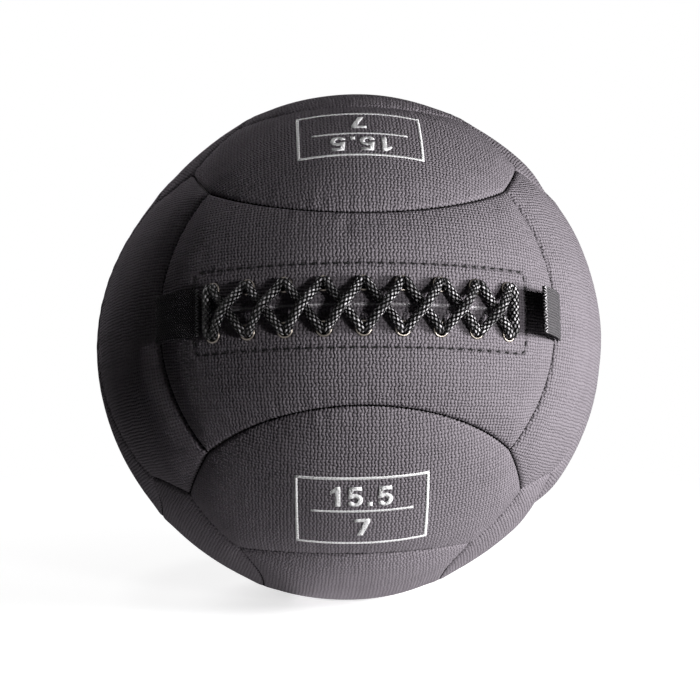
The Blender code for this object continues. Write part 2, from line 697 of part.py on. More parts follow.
def settled_sphere(bm, radius):
    """A sphere that follows the settled spots of the cover."""
    made = bmesh.ops.create_uvsphere(bm, u_segments=SHELL_SEGMENTS, v_segments=SHELL_RINGS, radius=1)
    for vert in made["verts"]:
        direction = np.array(vert.co.normalized())
        vert.co = at(direction, radius - BALL_RADIUS)


def make_liner():
    """The liner: a thin bag inside the cover, open behind the slit."""
    bm = bmesh.new()
    settled_sphere(bm, LINER_RADIUS)
    made = new_object("liner", mesh_from(bm, "liner"), PARTS, BALL, LINER_FABRIC)
    wall = made.modifiers.new("wall", "SOLIDIFY")
    wall.thickness = LINER_THICKNESS
    mouth = curved_slab("liner_mouth_cutter", FIRST_EYELET + TONGUE_PAST_EYELET + POCKET_MARGIN,
                        -TONGUE_HALF_WIDTH - POCKET_MARGIN, TONGUE_HALF_WIDTH + POCKET_MARGIN,
                        FACING_BOTTOM, LINER_CLEARANCE - POCKET_FLOOR, CUTTERS)
    cut(made, as_cutter(mouth))
    return made


def make_stuffing(name, depth, pocket, core_space):
    """Half of the stuffing, with its share of the hollow for the core."""
    bm = bmesh.new()
    settled_sphere(bm, STUFFING_RADIUS)
    plane_point = (0, depth * HALVES_GAP / 2, 0)
    bmesh.ops.bisect_plane(bm, geom=bm.verts[:] + bm.edges[:] + bm.faces[:], dist=TOUCH_GAP / SHELL_SEGMENTS,
                           plane_co=plane_point, plane_no=(0, depth, 0), clear_inner=True)
    rim = [edge for edge in bm.edges if edge.is_boundary]
    bmesh.ops.edgeloop_fill(bm, edges=rim)
    bmesh.ops.recalc_face_normals(bm, faces=bm.faces)
    made = new_object(name, mesh_from(bm, name), PARTS, BALL, STUFFING)
    cut(made, core_space)
    if pocket:
        cut(made, pocket)
    return made


def turned(name, profile, segments, collection, material=None):
    """A shape turned about Z from a profile that runs from the top down its outer side."""
    bm = bmesh.new()
    line = [bm.verts.new((radius, 0, height)) for radius, height in profile]
    edges = [bm.edges.new(pair) for pair in zip(line, line[1:])]
    del edges
    made = new_object(name, mesh_from(bm, name), collection, BALL, material)
    screw = made.modifiers.new("turn", "SCREW")
    screw.steps = segments
    screw.render_steps = segments
    screw.use_merge_vertices = True
    screw.merge_threshold = MERGE_GAP
    return made


def core_profile(radius, neck_radius, neck_length):
    """Half the outline of the core, from its neck round to its lowest point, at the same angles for each."""
    start = math.asin(CORE_NECK_RADIUS / CORE_RADIUS)
    angles = [start + (math.pi - start) * index / CORE_RINGS for index in range(CORE_RINGS + 1)]
    arc = [(radius * math.sin(angle), radius * math.cos(angle)) for angle in angles]
    arc[0] = (neck_radius, math.sqrt(radius ** 2 - neck_radius ** 2))
    arc[-1] = (0.0, -radius)
    if neck_length:
        arc.insert(0, (neck_radius, arc[0][1] + neck_length))
    return arc


def make_core_space():
    """The hollow in the stuffing: the core with its clearance all round."""
    neck = CORE_NECK_RADIUS + 2 * CORE_TIE_RADIUS + CORE_CLEARANCE
    profile = core_profile(CORE_RADIUS + CORE_CLEARANCE, neck, CORE_NECK_LENGTH + CORE_CLEARANCE)
    profile.insert(0, (0.0, profile[0][1]))
    return as_cutter(turned("core_space_cutter", profile, CORE_SEGMENTS, CUTTERS))


def make_core_bag():
    """The bag that holds the weight, open at its neck."""
    made = turned("core_bag", core_profile(CORE_RADIUS, CORE_NECK_RADIUS, CORE_NECK_LENGTH), CORE_SEGMENTS,
                  PARTS, CORE_BAG)
    wall = made.modifiers.new("wall", "SOLIDIFY")
    wall.thickness = CORE_BAG_THICKNESS
    return made


def make_core_fill():
    """The weight: fine iron sand that fills the bag up to its neck."""
    radius = CORE_RADIUS - CORE_BAG_THICKNESS - TOUCH_GAP
    neck_radius = CORE_NECK_RADIUS - CORE_BAG_THICKNESS - TOUCH_GAP
    profile = core_profile(radius, neck_radius, 0)
    profile.insert(0, (0.0, profile[0][1]))
    return turned("core_fill", profile, CORE_SEGMENTS, PARTS, IRON_SAND)


def make_core_tie():
    """The tie round the neck of the bag."""
    reach = CORE_NECK_RADIUS + TOUCH_GAP + CORE_TIE_RADIUS
    height = math.sqrt(CORE_RADIUS ** 2 - CORE_NECK_RADIUS ** 2) + CORE_NECK_LENGTH / 2
    bpy.ops.mesh.primitive_torus_add(major_radius=reach, minor_radius=CORE_TIE_RADIUS,
                                     major_segments=CORE_SEGMENTS, minor_segments=6,
                                     location=(0, 0, height))
    made = bpy.context.object
    made.name = "core_tie"
    for linked in list(made.users_collection):
        linked.objects.unlink(made)
    PARTS.objects.link(made)
    made.parent = BALL
    made.data.materials.append(LACE_CORD)
    return made


# Materials

COVER_FABRIC = new_material("cover_fabric", (0.052, 0.050, 0.056), 0.72)
LACE_CORD = new_material("lace_cord", (0.012, 0.012, 0.013), 0.45)
WEBBING = new_material("webbing", (0.020, 0.020, 0.022), 0.6)
EYELET_METAL = new_material("eyelet_metal", (0.32, 0.30, 0.28), 0.35, 1.0)
FACING_FABRIC = new_material("facing_fabric", (0.030, 0.030, 0.032), 0.85)
LINER_FABRIC = new_material("liner_fabric", (0.25, 0.25, 0.24), 0.9)
STUFFING = new_material("stuffing", (0.42, 0.40, 0.37), 1.0)
CORE_BAG = new_material("core_bag", (0.10, 0.10, 0.11), 0.6)
IRON_SAND = new_material("iron_sand", (0.06, 0.055, 0.05), 0.7, 0.5)

# The ball's centre, which carries every piece

BALL = bpy.data.objects.new("ball_centre", None)
PARTS.objects.link(BALL)
BALL.location = (0, 0, CENTRE_HEIGHT)
BALL.rotation_euler = (-math.radians(LEAN_BACK_DEG), 0, 0)

# Cover

COVER = {}
for panel_name, panel_middle, panel_outline, ring_shares in cover_panels():
    COVER[panel_name] = make_panel(panel_name, panel_middle, panel_outline, ring_shares)

eyelet_cutter = make_eyelet_cutter()
cut(COVER["front_panel"], make_slit_cutter())
cut(COVER["front_panel"], eyelet_cutter)

# The foot: the bottom panel is cut flat where the ball rests

foot_bm = bmesh.new()
bmesh.ops.create_cube(foot_bm, size=1)
foot_size = 2 * (FOOT_RADIUS + CUT_OVERRUN)
bmesh.ops.transform(foot_bm, verts=foot_bm.verts,
                    matrix=Matrix.Translation((0, 0, -CUT_OVERRUN / 2))
                    @ Matrix.Diagonal((foot_size, foot_size, CUT_OVERRUN, 1)))
cut(COVER["bottom_panel"], as_cutter(new_object("foot_cutter", mesh_from(foot_bm, "foot_cutter"), CUTTERS)))

# Facings, tongue, eyelets and lace

facing_half = FIRST_EYELET + FACING_PAST_EYELET
for facing_name, facing_level in (("upper_facing", UP), ("lower_facing", DOWN)):
    edges_of_facing = sorted((facing_level * SLIT_WIDTH / 2, facing_level * FACING_HEIGHT))
    facing = curved_slab(facing_name, facing_half, *edges_of_facing, FACING_TOP, FACING_THICKNESS, PARTS,
                         FACING_FABRIC, x_steps=12, z_steps=2)
    cut(facing, eyelet_cutter)

curved_slab("tongue", FIRST_EYELET + TONGUE_PAST_EYELET, -TONGUE_HALF_WIDTH, TONGUE_HALF_WIDTH, TONGUE_TOP,
            TONGUE_THICKNESS, PARTS, FACING_FABRIC)
shared_eyelet = eyelet_mesh()
make_eyelets("upper", UPPER_EYELET_ROW, shared_eyelet)
make_eyelets("lower", LOWER_EYELET_ROW, shared_eyelet)
make_lace()
make_knot()
make_tab("left_pull_tab", LEFT, 0)
make_tab("right_pull_tab", RIGHT, RIGHT_TAB_LIFT_DEG)

# Inside

make_liner()
pocket_cutter = as_cutter(curved_slab("pocket_cutter", FIRST_EYELET + TONGUE_PAST_EYELET + POCKET_MARGIN,
                                      -TONGUE_HALF_WIDTH - POCKET_MARGIN, TONGUE_HALF_WIDTH + POCKET_MARGIN,
                                      CUT_OVERRUN, CUT_OVERRUN - POCKET_FLOOR, CUTTERS))
core_space_cutter = make_core_space()
make_stuffing("front_stuffing", FRONT, pocket_cutter, core_space_cutter)
make_stuffing("back_stuffing", BACK, None, core_space_cutter)
make_core_bag()
make_core_fill()
make_core_tie()
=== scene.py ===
"""Dresses the laced wall ball: sewn cover, eyelets, braided lace, pull tabs, prints, stage and camera.

Places on the ball are azimuth and latitude in degrees, or arc lengths across and up from the middle of the
laced panel, in the ball's own axes. The ball leans back on its foot, so each finished point is leant as well.
"""
import math
from functools import partial

import bmesh
import bpy
import numpy as np
from mathutils import Matrix, Vector, noise
from mathutils.bvhtree import BVHTree


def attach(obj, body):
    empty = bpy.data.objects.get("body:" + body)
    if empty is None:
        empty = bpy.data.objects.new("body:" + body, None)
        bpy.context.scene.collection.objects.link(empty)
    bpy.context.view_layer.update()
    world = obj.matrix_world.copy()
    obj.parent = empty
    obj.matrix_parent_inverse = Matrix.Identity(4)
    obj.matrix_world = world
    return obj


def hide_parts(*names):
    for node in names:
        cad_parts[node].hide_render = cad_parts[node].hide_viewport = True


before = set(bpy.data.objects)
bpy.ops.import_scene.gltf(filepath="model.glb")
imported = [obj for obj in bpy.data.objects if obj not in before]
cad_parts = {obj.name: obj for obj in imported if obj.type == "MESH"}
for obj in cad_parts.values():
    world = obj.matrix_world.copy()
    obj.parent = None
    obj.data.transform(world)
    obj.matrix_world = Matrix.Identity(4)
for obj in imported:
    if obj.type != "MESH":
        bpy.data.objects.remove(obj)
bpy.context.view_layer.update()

bl_info = {
    "name": "Laced wall ball",
    "version": (1, 0, 0),
    "blender": (4, 5, 0),
    "location": "View3D > Sidebar > Wall Ball",
    "description": "Builds the cover, lacing, pull tabs and prints of a laced wall ball on its plain model",
    "category": "Add Mesh",
}

# The ball and its cover, in metres and degrees
BALL_RADIUS = 0.175
FOOT_RADIUS = 0.026
LEAN_BACK_DEG = 14.0
PANEL_THICKNESS = 0.003
SEAM_GAP = 0.0006
SEAM_DROP = 0.0025
SEAM_BAND = 0.028
CROWN_POWER = 2.2
SETTLED_SPOTS = ((-76.0, 41.0, 28.0, 0.0072), (86.0, -49.0, 28.0, 0.0056), (-90.0, -36.0, 24.0, 0.0018))
CENTRE_HEIGHT = math.sqrt(BALL_RADIUS ** 2 - FOOT_RADIUS ** 2)

# Seam corners and the middles of the seams between them, as azimuth and latitude
LACED = (40.3, 29.6)
THREE_WAY = (55.0, 38.9)
BELT = (70.2, 33.4)
CAP = (53.0, 55.8)
LACED_LONG = (0.0, 20.8)
LACED_END = (47.9, 0.0)
LACED_TO_THREE_WAY = (46.8, 34.0)
THREE_WAY_TO_BELT = (62.3, 35.7)
THREE_WAY_TO_CAP = (55.0, 47.5)
BELT_SIDE = (81.6, 0.0)
BELT_END = (90.0, 42.0)
CAP_FRONT = (0.0, 59.6)
CAP_SIDE = (90.0, 69.8)
LEFT, RIGHT, FRONT, BACK, DOWN, UP = -1, 1, -1, 1, -1, 1
SIDES = {"left": LEFT, "right": RIGHT}
LEVELS = {"top": UP, "bottom": DOWN}

# Lacing
SLIT_WIDTH = 0.0006
SLIT_PAST_EYELET = 0.003
FACING_THICKNESS = 0.0012
FACING_CLEARANCE = 0.0009
EYELET_COUNT = 9
UPPER_EYELET_ROW = 0.0134
LOWER_EYELET_ROW = -0.0148
EYELET_BORE_RADIUS = 0.0036
EYELET_WALL = 0.0005
EYELET_FLANGE = 0.0010
EYELET_FLANGE_THICKNESS = 0.0006
TOUCH_GAP = 0.0003
LACE_DIAMETER = 0.0054
LACE_DRAWN_DIAMETER = 0.0029
LACE_GAP = 0.0004
LACE_TURN_REACH = 0.0032
LACE_DEEP_DROP = 0.003
LACE_DEEP_BELLY = 0.0018
KNOT_LENGTH = 0.014

# Pull tabs
TAB_LENGTH = 0.0368
# Share of painted sheen on each tab's outer layer
PAINTED_SHEEN_SHARE = {"left": 0.1, "right": 0.3}
TAB_WIDTH = 0.030
WEBBING_THICKNESS = 0.0013
TAB_LAYER_GAP = 0.0004
TAB_CLEARANCE = 0.0005
TAB_FROM_SEAM = 0.0015
TAB_TO_EYELET = 0.0034
TAB_LIFT_DEG = {"left": 0.0, "right": 24.0}

# Heights above the cover's crown that the lacing shares
FACING_TOP = -(PANEL_THICKNESS + FACING_CLEARANCE)
FACING_BOTTOM = FACING_TOP - FACING_THICKNESS
DRAWN_RADIUS = LACE_DRAWN_DIAMETER / 2
LACE_RADIUS = LACE_DIAMETER / 2
SHALLOW_HEIGHT = FACING_BOTTOM - LACE_GAP - DRAWN_RADIUS
DEEP_HEIGHT = SHALLOW_HEIGHT - LACE_DEEP_DROP
LACE_LOWEST = DEEP_HEIGHT - LACE_DEEP_BELLY - DRAWN_RADIUS
TONGUE_TOP = LACE_LOWEST - LACE_GAP
FLANGE_TOP = TOUCH_GAP + EYELET_FLANGE_THICKNESS
EYELET_OUTER_RADIUS = EYELET_BORE_RADIUS + EYELET_WALL
EYELET_HOLE_RADIUS = EYELET_OUTER_RADIUS + TOUCH_GAP
TAB_ROOT = math.radians(LACED_END[0]) * BALL_RADIUS - TAB_FROM_SEAM
TAB_STACK_HALF = WEBBING_THICKNESS + TAB_LAYER_GAP / 2
FIRST_EYELET = TAB_ROOT - TAB_LENGTH - TAB_STACK_HALF - TAB_TO_EYELET - EYELET_OUTER_RADIUS - EYELET_FLANGE
EYELET_PITCH = 2 * FIRST_EYELET / (EYELET_COUNT - 1)
SLIT_HALF = FIRST_EYELET + SLIT_PAST_EYELET
EYELET_ROWS = {DOWN: LOWER_EYELET_ROW, UP: UPPER_EYELET_ROW}


# Small helpers

def linear(hex_colour):
    """An sRGB hex colour as linear red, green, blue and alpha."""
    parts = [int(hex_colour[i:i + 2], 16) / 255 for i in (1, 3, 5)]
    return (*(p / 12.92 if p <= 0.04045 else ((p + 0.055) / 1.055) ** 2.4 for p in parts), 1.0)


# The field that the word after a node's kind sets
NODE_FIELDS = {"Math": "operation", "VectorMath": "operation", "UVMap": "uv_map",
               "Attribute": "attribute_name", "MapRange": "interpolation_type", "Mix": "data_type",
               "TexWhiteNoise": "noise_dimensions", "TexWave": "bands_direction"}


def node(tree, kind, *inputs, **named):
    """Adds a node, such as "Math POWER", and fills or links its inputs, given in order or by name."""
    kind, _, word = kind.partition(" ")
    made = tree.nodes.new(f"ShaderNode{kind}")
    if word:
        setattr(made, NODE_FIELDS[kind], word)
    given = list(zip([socket for socket in made.inputs if socket.enabled], inputs))
    given += [(made.inputs[name.replace("_", " ")], value) for name, value in named.items()]
    for socket, value in given:
        if isinstance(value, bpy.types.Node):
            value = next(output for output in value.outputs if output.enabled)
        if isinstance(value, bpy.types.NodeSocket):
            tree.links.new(value, socket)
        else:
            socket.default_value = value
    return made


def new_material(name):
    """An empty material, and the function that adds a node to it."""
    made = bpy.data.materials.new(name)
    made.use_nodes = True
    made.node_tree.nodes.clear()
    return made, partial(node, made.node_tree)


def new_object(name, data, material=None):
    """An object for a mesh, light, camera or curve, at the origin, in the scene."""
    made = bpy.data.objects.new(name, data)
    bpy.context.scene.collection.objects.link(made)
    if material:
        data.materials.append(material)
    return made


def piece(name, mesh, material, body, replaced=()):
    """A finished piece: on its body, in place of the nodes that it stands for."""
    made = new_object(name, mesh, material)
    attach(made, body)
    if replaced:
        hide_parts(*replaced)
    return made


def thicken(made, name, thickness, offset):
    """Gives a sheet its thickness: inwards with an offset of minus one, to both sides with nought."""
    wall = made.modifiers.new(name, "SOLIDIFY")
    wall.thickness = thickness
    wall.offset = offset


def mesh_from(bm, name, smooth=True):
    """A mesh from a bmesh, which is freed."""
    mesh = bpy.data.meshes.new(name)
    bm.to_mesh(mesh)
    bm.free()
    if smooth:
        mesh.shade_smooth()
    return mesh


def point_places(mesh):
    """The places of a mesh's points."""
    places = np.empty(len(mesh.vertices) * 3)
    mesh.vertices.foreach_get("co", places)
    return places.reshape(-1, 3)


def corner_points(mesh):
    """The number of the point at each corner of a mesh's faces."""
    corners = np.empty(len(mesh.loops), int)
    mesh.loops.foreach_get("vertex_index", corners)
    return corners


def unit(vectors):
    """Vectors brought to length one."""
    vectors = np.asarray(vectors, float)
    return vectors / np.linalg.norm(vectors, axis=-1, keepdims=True)


def lengths_along(line):
    """How far along a line each of its points is."""
    return np.concatenate([[0], np.cumsum(np.linalg.norm(np.diff(line, axis=0), axis=1))])


def places_along(line, way, marks):
    """Places on a line at each mark, where way holds the marks of its own points."""
    return np.stack([np.interp(marks, way, column) for column in line.T], -1)


def smooth_step(low, high, values):
    """Rises from nought at low to one at high."""
    share = np.clip((np.asarray(values) - low) / (high - low), 0, 1)
    return share * share * (3 - 2 * share)


# The shape of the ball, as its plain model has it

def on_ball(azimuth_deg, latitude_deg):
    """The direction of a place on the ball."""
    azimuth, latitude = np.radians(azimuth_deg), np.radians(latitude_deg)
    return np.stack(np.broadcast_arrays(np.sin(azimuth) * np.cos(latitude),
                                        -np.cos(azimuth) * np.cos(latitude), np.sin(latitude)), -1)


def crown_radius(directions):
    """The cover's radius in each direction, before its seams are drawn in."""
    radius = np.full(np.shape(directions)[:-1], BALL_RADIUS)
    for azimuth, latitude, spread, depth in SETTLED_SPOTS:
        away = np.degrees(np.arccos(np.clip(directions @ on_ball(azimuth, latitude), -1, 1)))
        radius = radius - depth * np.exp(-(away / spread) ** 2)
    return radius


def at(directions, height):
    """Points at a height above the crown of the cover."""
    directions = np.asarray(directions, float)
    return directions * (crown_radius(directions) + height)[..., None]


def across(x_arc, z_arc):
    """The direction at arc lengths across and up from the middle of the laced panel."""
    return on_ball(np.degrees(np.asarray(x_arc) / BALL_RADIUS), np.degrees(np.asarray(z_arc) / BALL_RADIUS))


def arc_point(x_arc, z_arc, height):
    """Points at arc lengths across and up, and a height above the crown."""
    return at(across(x_arc, z_arc), height)


def crown_drop(reach):
    """How far the cover lies below its crown at a distance from the seam."""
    return SEAM_DROP * np.maximum(0.0, 1 - np.asarray(reach) / SEAM_BAND) ** CROWN_POWER


LEAN = Matrix.Translation((0, 0, CENTRE_HEIGHT)) @ Matrix.Rotation(-math.radians(LEAN_BACK_DEG), 4, "X")
LEAN_TURN = np.array(LEAN.to_3x3())
LEAN_MOVE = np.array(LEAN.translation)


def leant(points):
    """Points of the ball's own axes, moved to where the leaning ball has them."""
    return np.asarray(points, float) @ LEAN_TURN.T + LEAN_MOVE


def mirrored(place, signs):
    """A place of the front upper right eighth, moved into another eighth of the ball."""
    return np.abs(on_ball(*place)) * np.array(signs)


SEAM_SAMPLES = 120


def seam_arc(start, middle, end):
    """Directions along the circle on the ball through three directions."""
    normal = unit(np.cross(middle - start, end - start))
    hub = normal * (normal @ start)
    spoke = start - hub
    radius = np.linalg.norm(spoke)
    axis_u = spoke / radius
    axis_v = np.cross(normal, axis_u)
    turn = math.atan2((end - hub) @ axis_v, (end - hub) @ axis_u) % (2 * math.pi)
    angles = np.linspace(0, turn, SEAM_SAMPLES)[:, None]
    return hub + radius * (np.cos(angles) * axis_u + np.sin(angles) * axis_v)


def straight(corner, middle, *signs):
    """A panel's side from a corner to its mirror image, across the axis whose sign is nought."""
    low, high = (np.where(np.array(signs) == 0, end, signs) for end in (-1, 1))
    return seam_arc(mirrored(corner, low), mirrored(middle, high), mirrored(corner, high))


def bent(stops, *signs):
    """A panel's side over two seams: corner, middle, corner, middle, corner."""
    places = [mirrored(stop, signs) for stop in stops]
    return np.concatenate([seam_arc(*places[:3]), seam_arc(*places[2:])[1:]])


LACED_TO_BELT = (LACED, LACED_TO_THREE_WAY, THREE_WAY, THREE_WAY_TO_BELT, BELT)
LACED_TO_CAP = (LACED, LACED_TO_THREE_WAY, THREE_WAY, THREE_WAY_TO_CAP, CAP)
BELT_TO_CAP = (BELT, THREE_WAY_TO_BELT, THREE_WAY, THREE_WAY_TO_CAP, CAP)


def cover_panels():
    """Every cover panel: its name, its middle direction, and its bottom, right, top and left sides."""
    flank, oval, shoulder = (np.abs(unit(on_ball(*first) + on_ball(*second))) for first, second in (
        (LACED_END, BELT_SIDE), (LACED_LONG, CAP_FRONT), (BELT_END, CAP_SIDE)))
    panels = {}
    for y, depth in ((FRONT, "front"), (BACK, "back")):
        panels[f"{depth}_panel"] = np.array((0, y, 0)), (
            straight(LACED, LACED_LONG, 0, y, DOWN), straight(LACED, LACED_END, RIGHT, y, 0),
            straight(LACED, LACED_LONG, 0, y, UP), straight(LACED, LACED_END, LEFT, y, 0))
        for side, x in SIDES.items():
            panels[f"{depth}_{side}_panel"] = flank * (x, y, 0), (
                bent(LACED_TO_BELT, x, y, DOWN), straight(BELT, BELT_SIDE, x, y, 0),
                bent(LACED_TO_BELT, x, y, UP), straight(LACED, LACED_END, x, y, 0))
        for level, z in LEVELS.items():
            panels[f"{depth}_{level}_panel"] = oval * (0, y, z), (
                straight(LACED, LACED_LONG, 0, y, z), bent(LACED_TO_CAP, RIGHT, y, z),
                straight(CAP, CAP_FRONT, 0, y, z), bent(LACED_TO_CAP, LEFT, y, z))
    for side, x in SIDES.items():
        panels[f"{side}_panel"] = np.array((x, 0, 0)), (
            straight(BELT, BELT_END, x, 0, DOWN), straight(BELT, BELT_SIDE, x, BACK, 0),
            straight(BELT, BELT_END, x, 0, UP), straight(BELT, BELT_SIDE, x, FRONT, 0))
        for level, z in LEVELS.items():
            panels[f"{side}_{level}_panel"] = shoulder * (x, 0, z), (
                straight(BELT, BELT_END, x, 0, z), bent(BELT_TO_CAP, x, BACK, z),
                straight(CAP, CAP_SIDE, x, 0, z), bent(BELT_TO_CAP, x, FRONT, z))
    for level, z in LEVELS.items():
        panels[f"{level}_panel"] = np.array((0, 0, z)), (
            straight(CAP, CAP_FRONT, 0, FRONT, z), straight(CAP, CAP_SIDE, RIGHT, 0, z),
            straight(CAP, CAP_FRONT, 0, BACK, z), straight(CAP, CAP_SIDE, LEFT, 0, z))
    return panels


# Panels as grids between their four sides

def closed_loop(sides):
    """The four sides of a panel as one closed line of directions."""
    bottom, right, top, left = sides
    return np.concatenate([bottom[:-1], right[:-1], top[::-1][:-1], left[::-1][:-1]])


def drawn_in(sides, middle):
    """A panel's sides moved in from the seam by half the seam gap."""
    loop = closed_loop(sides)
    along = np.roll(loop, -1, 0) - np.roll(loop, 1, 0)
    inward = unit(np.cross(loop, along))
    if np.sum(inward * (middle - loop)) < 0:
        inward = -inward
    moved = unit(loop + inward * (SEAM_GAP / 2 / BALL_RADIUS))
    moved = np.concatenate([moved, moved[:1]])
    stops = np.cumsum([0] + [len(side) - 1 for side in sides])
    bottom, right, top, left = (moved[first:last + 1] for first, last in zip(stops, stops[1:]))
    return bottom, right, top[::-1], left[::-1]


def along_side(side, shares):
    """Directions at shares of a side's length."""
    way = lengths_along(side)
    return places_along(side, way / way[-1], shares)


def patch(sides, across_shares, up_shares):
    """Directions of a grid stretched between four sides."""
    bottom, right, top, left = sides
    low, high = along_side(bottom, across_shares), along_side(top, across_shares)
    first, last = along_side(left, up_shares), along_side(right, up_shares)
    u, v = across_shares[:, None, None], up_shares[None, :, None]
    corners = ((1 - u) * (1 - v) * bottom[0] + u * (1 - v) * bottom[-1]
               + (1 - u) * v * top[0] + u * v * top[-1])
    return unit((1 - v) * low[:, None] + v * high[:, None]
                + (1 - u) * first[None] + u * last[None] - corners)


RIM_STEPS = (0.0, 0.0005, 0.0011, 0.0019, 0.0029)


def shares_across(length, cell):
    """Shares of a length for a grid's lines: close together at both rims, even between, one in the middle."""
    edge = np.array(RIM_STEPS) / length
    inner = 2 * max(2, round(length * (1 - 2 * edge[-1]) / cell / 2))
    even = np.linspace(edge[-1], 1 - edge[-1], inner + 1)
    inside = np.concatenate([edge[:-1], even, (1 - edge[:-1])[::-1]])
    return np.concatenate([[0.0], inside, [1.0]])


def side_length(side):
    """A side's length on the ball."""
    return np.linalg.norm(np.diff(side, axis=0), axis=1).sum() * BALL_RADIUS


def grid_mesh(name, points):
    """A grid mesh whose points are given column by column, and where each of its points is among them."""
    columns, rows = points.shape[:2]
    bm = bmesh.new()
    bmesh.ops.create_grid(bm, x_segments=columns - 1, y_segments=rows - 1, size=1)
    mesh = mesh_from(bm, name)
    column, row = (np.rint((place + 1) / 2 * (count - 1)).astype(int)
                   for place, count in zip(point_places(mesh).T, (columns, rows)))
    mesh.vertices.foreach_set("co", points[column, row].ravel())
    return mesh, column * rows + row


def face_outwards(mesh, centre):
    """Turns a sheet's faces away from a centre."""
    mesh.update()
    some = [mesh.polygons[i] for i in range(0, len(mesh.polygons), max(1, len(mesh.polygons) // 200))]
    middles = np.array([face.center for face in some])
    normals = np.array([face.normal for face in some])
    if np.sum((middles - centre) * normals) < 0:
        mesh.flip_normals()


def set_values(mesh, name, values):
    """A number at each point of a mesh, for its material to read."""
    made = mesh.attributes.new(name, "FLOAT", "POINT")
    made.data.foreach_set("value", np.asarray(values, np.float32).ravel())


def set_flat_map(mesh, coordinates):
    """A map of flat places in metres, given at each point, for the weave to follow."""
    layer = mesh.uv_layers.new(name="flat")
    layer.data.foreach_set("uv", np.asarray(coordinates, np.float32)[corner_points(mesh)].ravel())


def flat_places(directions, middle):
    """Flat places in metres of directions, unrolled from the panel's middle."""
    upward = np.array((0, 0, 1.0)) if abs(middle[2]) < 0.95 else np.array((0, 1.0, 0))
    sideways = unit(np.cross(upward, middle))
    upward = np.cross(middle, sideways)
    turn = np.arccos(np.clip(directions @ middle, -1, 1))
    spread = np.stack([directions @ sideways, directions @ upward], -1)
    size = np.maximum(np.linalg.norm(spread, axis=-1), 1e-9)
    return spread * (turn / size)[..., None] * BALL_RADIUS


# Marks along a panel's outline, and how many places are measured against them at once
SEAM_MARKS = 1600
CHUNK = 4000


def seam_reach(directions, loop):
    """Distance to the nearest seam, and how far along the panel's outline that place is."""
    dense = np.concatenate([loop, loop[:1]])
    way = lengths_along(dense) * BALL_RADIUS
    marks = np.linspace(0, way[-1], SEAM_MARKS, endpoint=False)
    line = unit(places_along(dense, way, marks))
    reach, along = [], []
    for chunk in np.array_split(directions, max(1, len(directions) // CHUNK)):
        close = chunk @ line.T
        nearest = np.argmax(close, axis=1)
        reach.append(np.arccos(np.clip(close[np.arange(len(chunk)), nearest], -1, 1)) * BALL_RADIUS)
        along.append(marks[nearest])
    return np.concatenate(reach), np.concatenate(along)


def laced_arcs(directions):
    """Arc lengths across and up from the middle of the laced panel."""
    return (np.arctan2(directions[..., 0], -directions[..., 1]) * BALL_RADIUS,
            np.arcsin(np.clip(directions[..., 2], -1, 1)) * BALL_RADIUS)


# Where the cover begins to swell and where it swells fully, past the tabs' roots and above or below the slit
FREE_PAST_TABS = (TAB_ROOT + 0.002, TAB_ROOT + 0.02)
FREE_FROM_SLIT = (0.024, 0.040)


def free_of_lacing(directions):
    """One where the cover may swell, nought round the eyelets, the slit and the tabs."""
    x_arc, z_arc = laced_arcs(directions)
    beside = np.maximum(smooth_step(*FREE_PAST_TABS, np.abs(x_arc)),
                        smooth_step(*FREE_FROM_SLIT, np.abs(z_arc)))
    return np.where(directions[..., 1] < 0, beside, 1.0)


# The cover swells over its stuffing

COARSE_CELL = 0.006
FEWEST_CELLS = 6
SWELL_LIMIT = 0.0014
LUMP_SIZE = 0.055
LUMP_HEIGHT = 0.0007
CALM_BAND = 0.02
HELD_BELOW = 0.02
CLOTH_FRAMES = 20
CLOTH = {"vertex_group_mass": "sewn", "mass": 0.3, "quality": 5, "use_pressure": True,
         "uniform_pressure_force": 4.0, "shrink_min": -0.004, "bending_stiffness": 2.0}


def on_rim(columns, rows):
    """Which places of a grid are on its rim, column by column."""
    rim = np.ones((columns, rows), bool)
    rim[1:-1, 1:-1] = False
    return rim.ravel()


def settled(mesh, held):
    """Where a cloth's points come to rest when pressure swells it and its held points stay."""
    cloth = new_object("cover_cloth", mesh)
    cloth.vertex_groups.new(name="sewn").add([int(i) for i in np.flatnonzero(held)], 1.0, "REPLACE")
    modifier = cloth.modifiers.new("cloth", "CLOTH")
    for name, value in CLOTH.items():
        setattr(modifier.settings, name, value)
    modifier.settings.effector_weights.gravity = 0.0
    modifier.collision_settings.use_collision = False
    scene = bpy.context.scene
    scene.frame_start, scene.frame_end = 1, CLOTH_FRAMES
    for step in range(1, CLOTH_FRAMES + 1):
        scene.frame_set(step)
    points = point_places(cloth.evaluated_get(bpy.context.evaluated_depsgraph_get()).data)
    scene.frame_set(1)
    bpy.data.objects.remove(cloth, do_unlink=True)
    return points


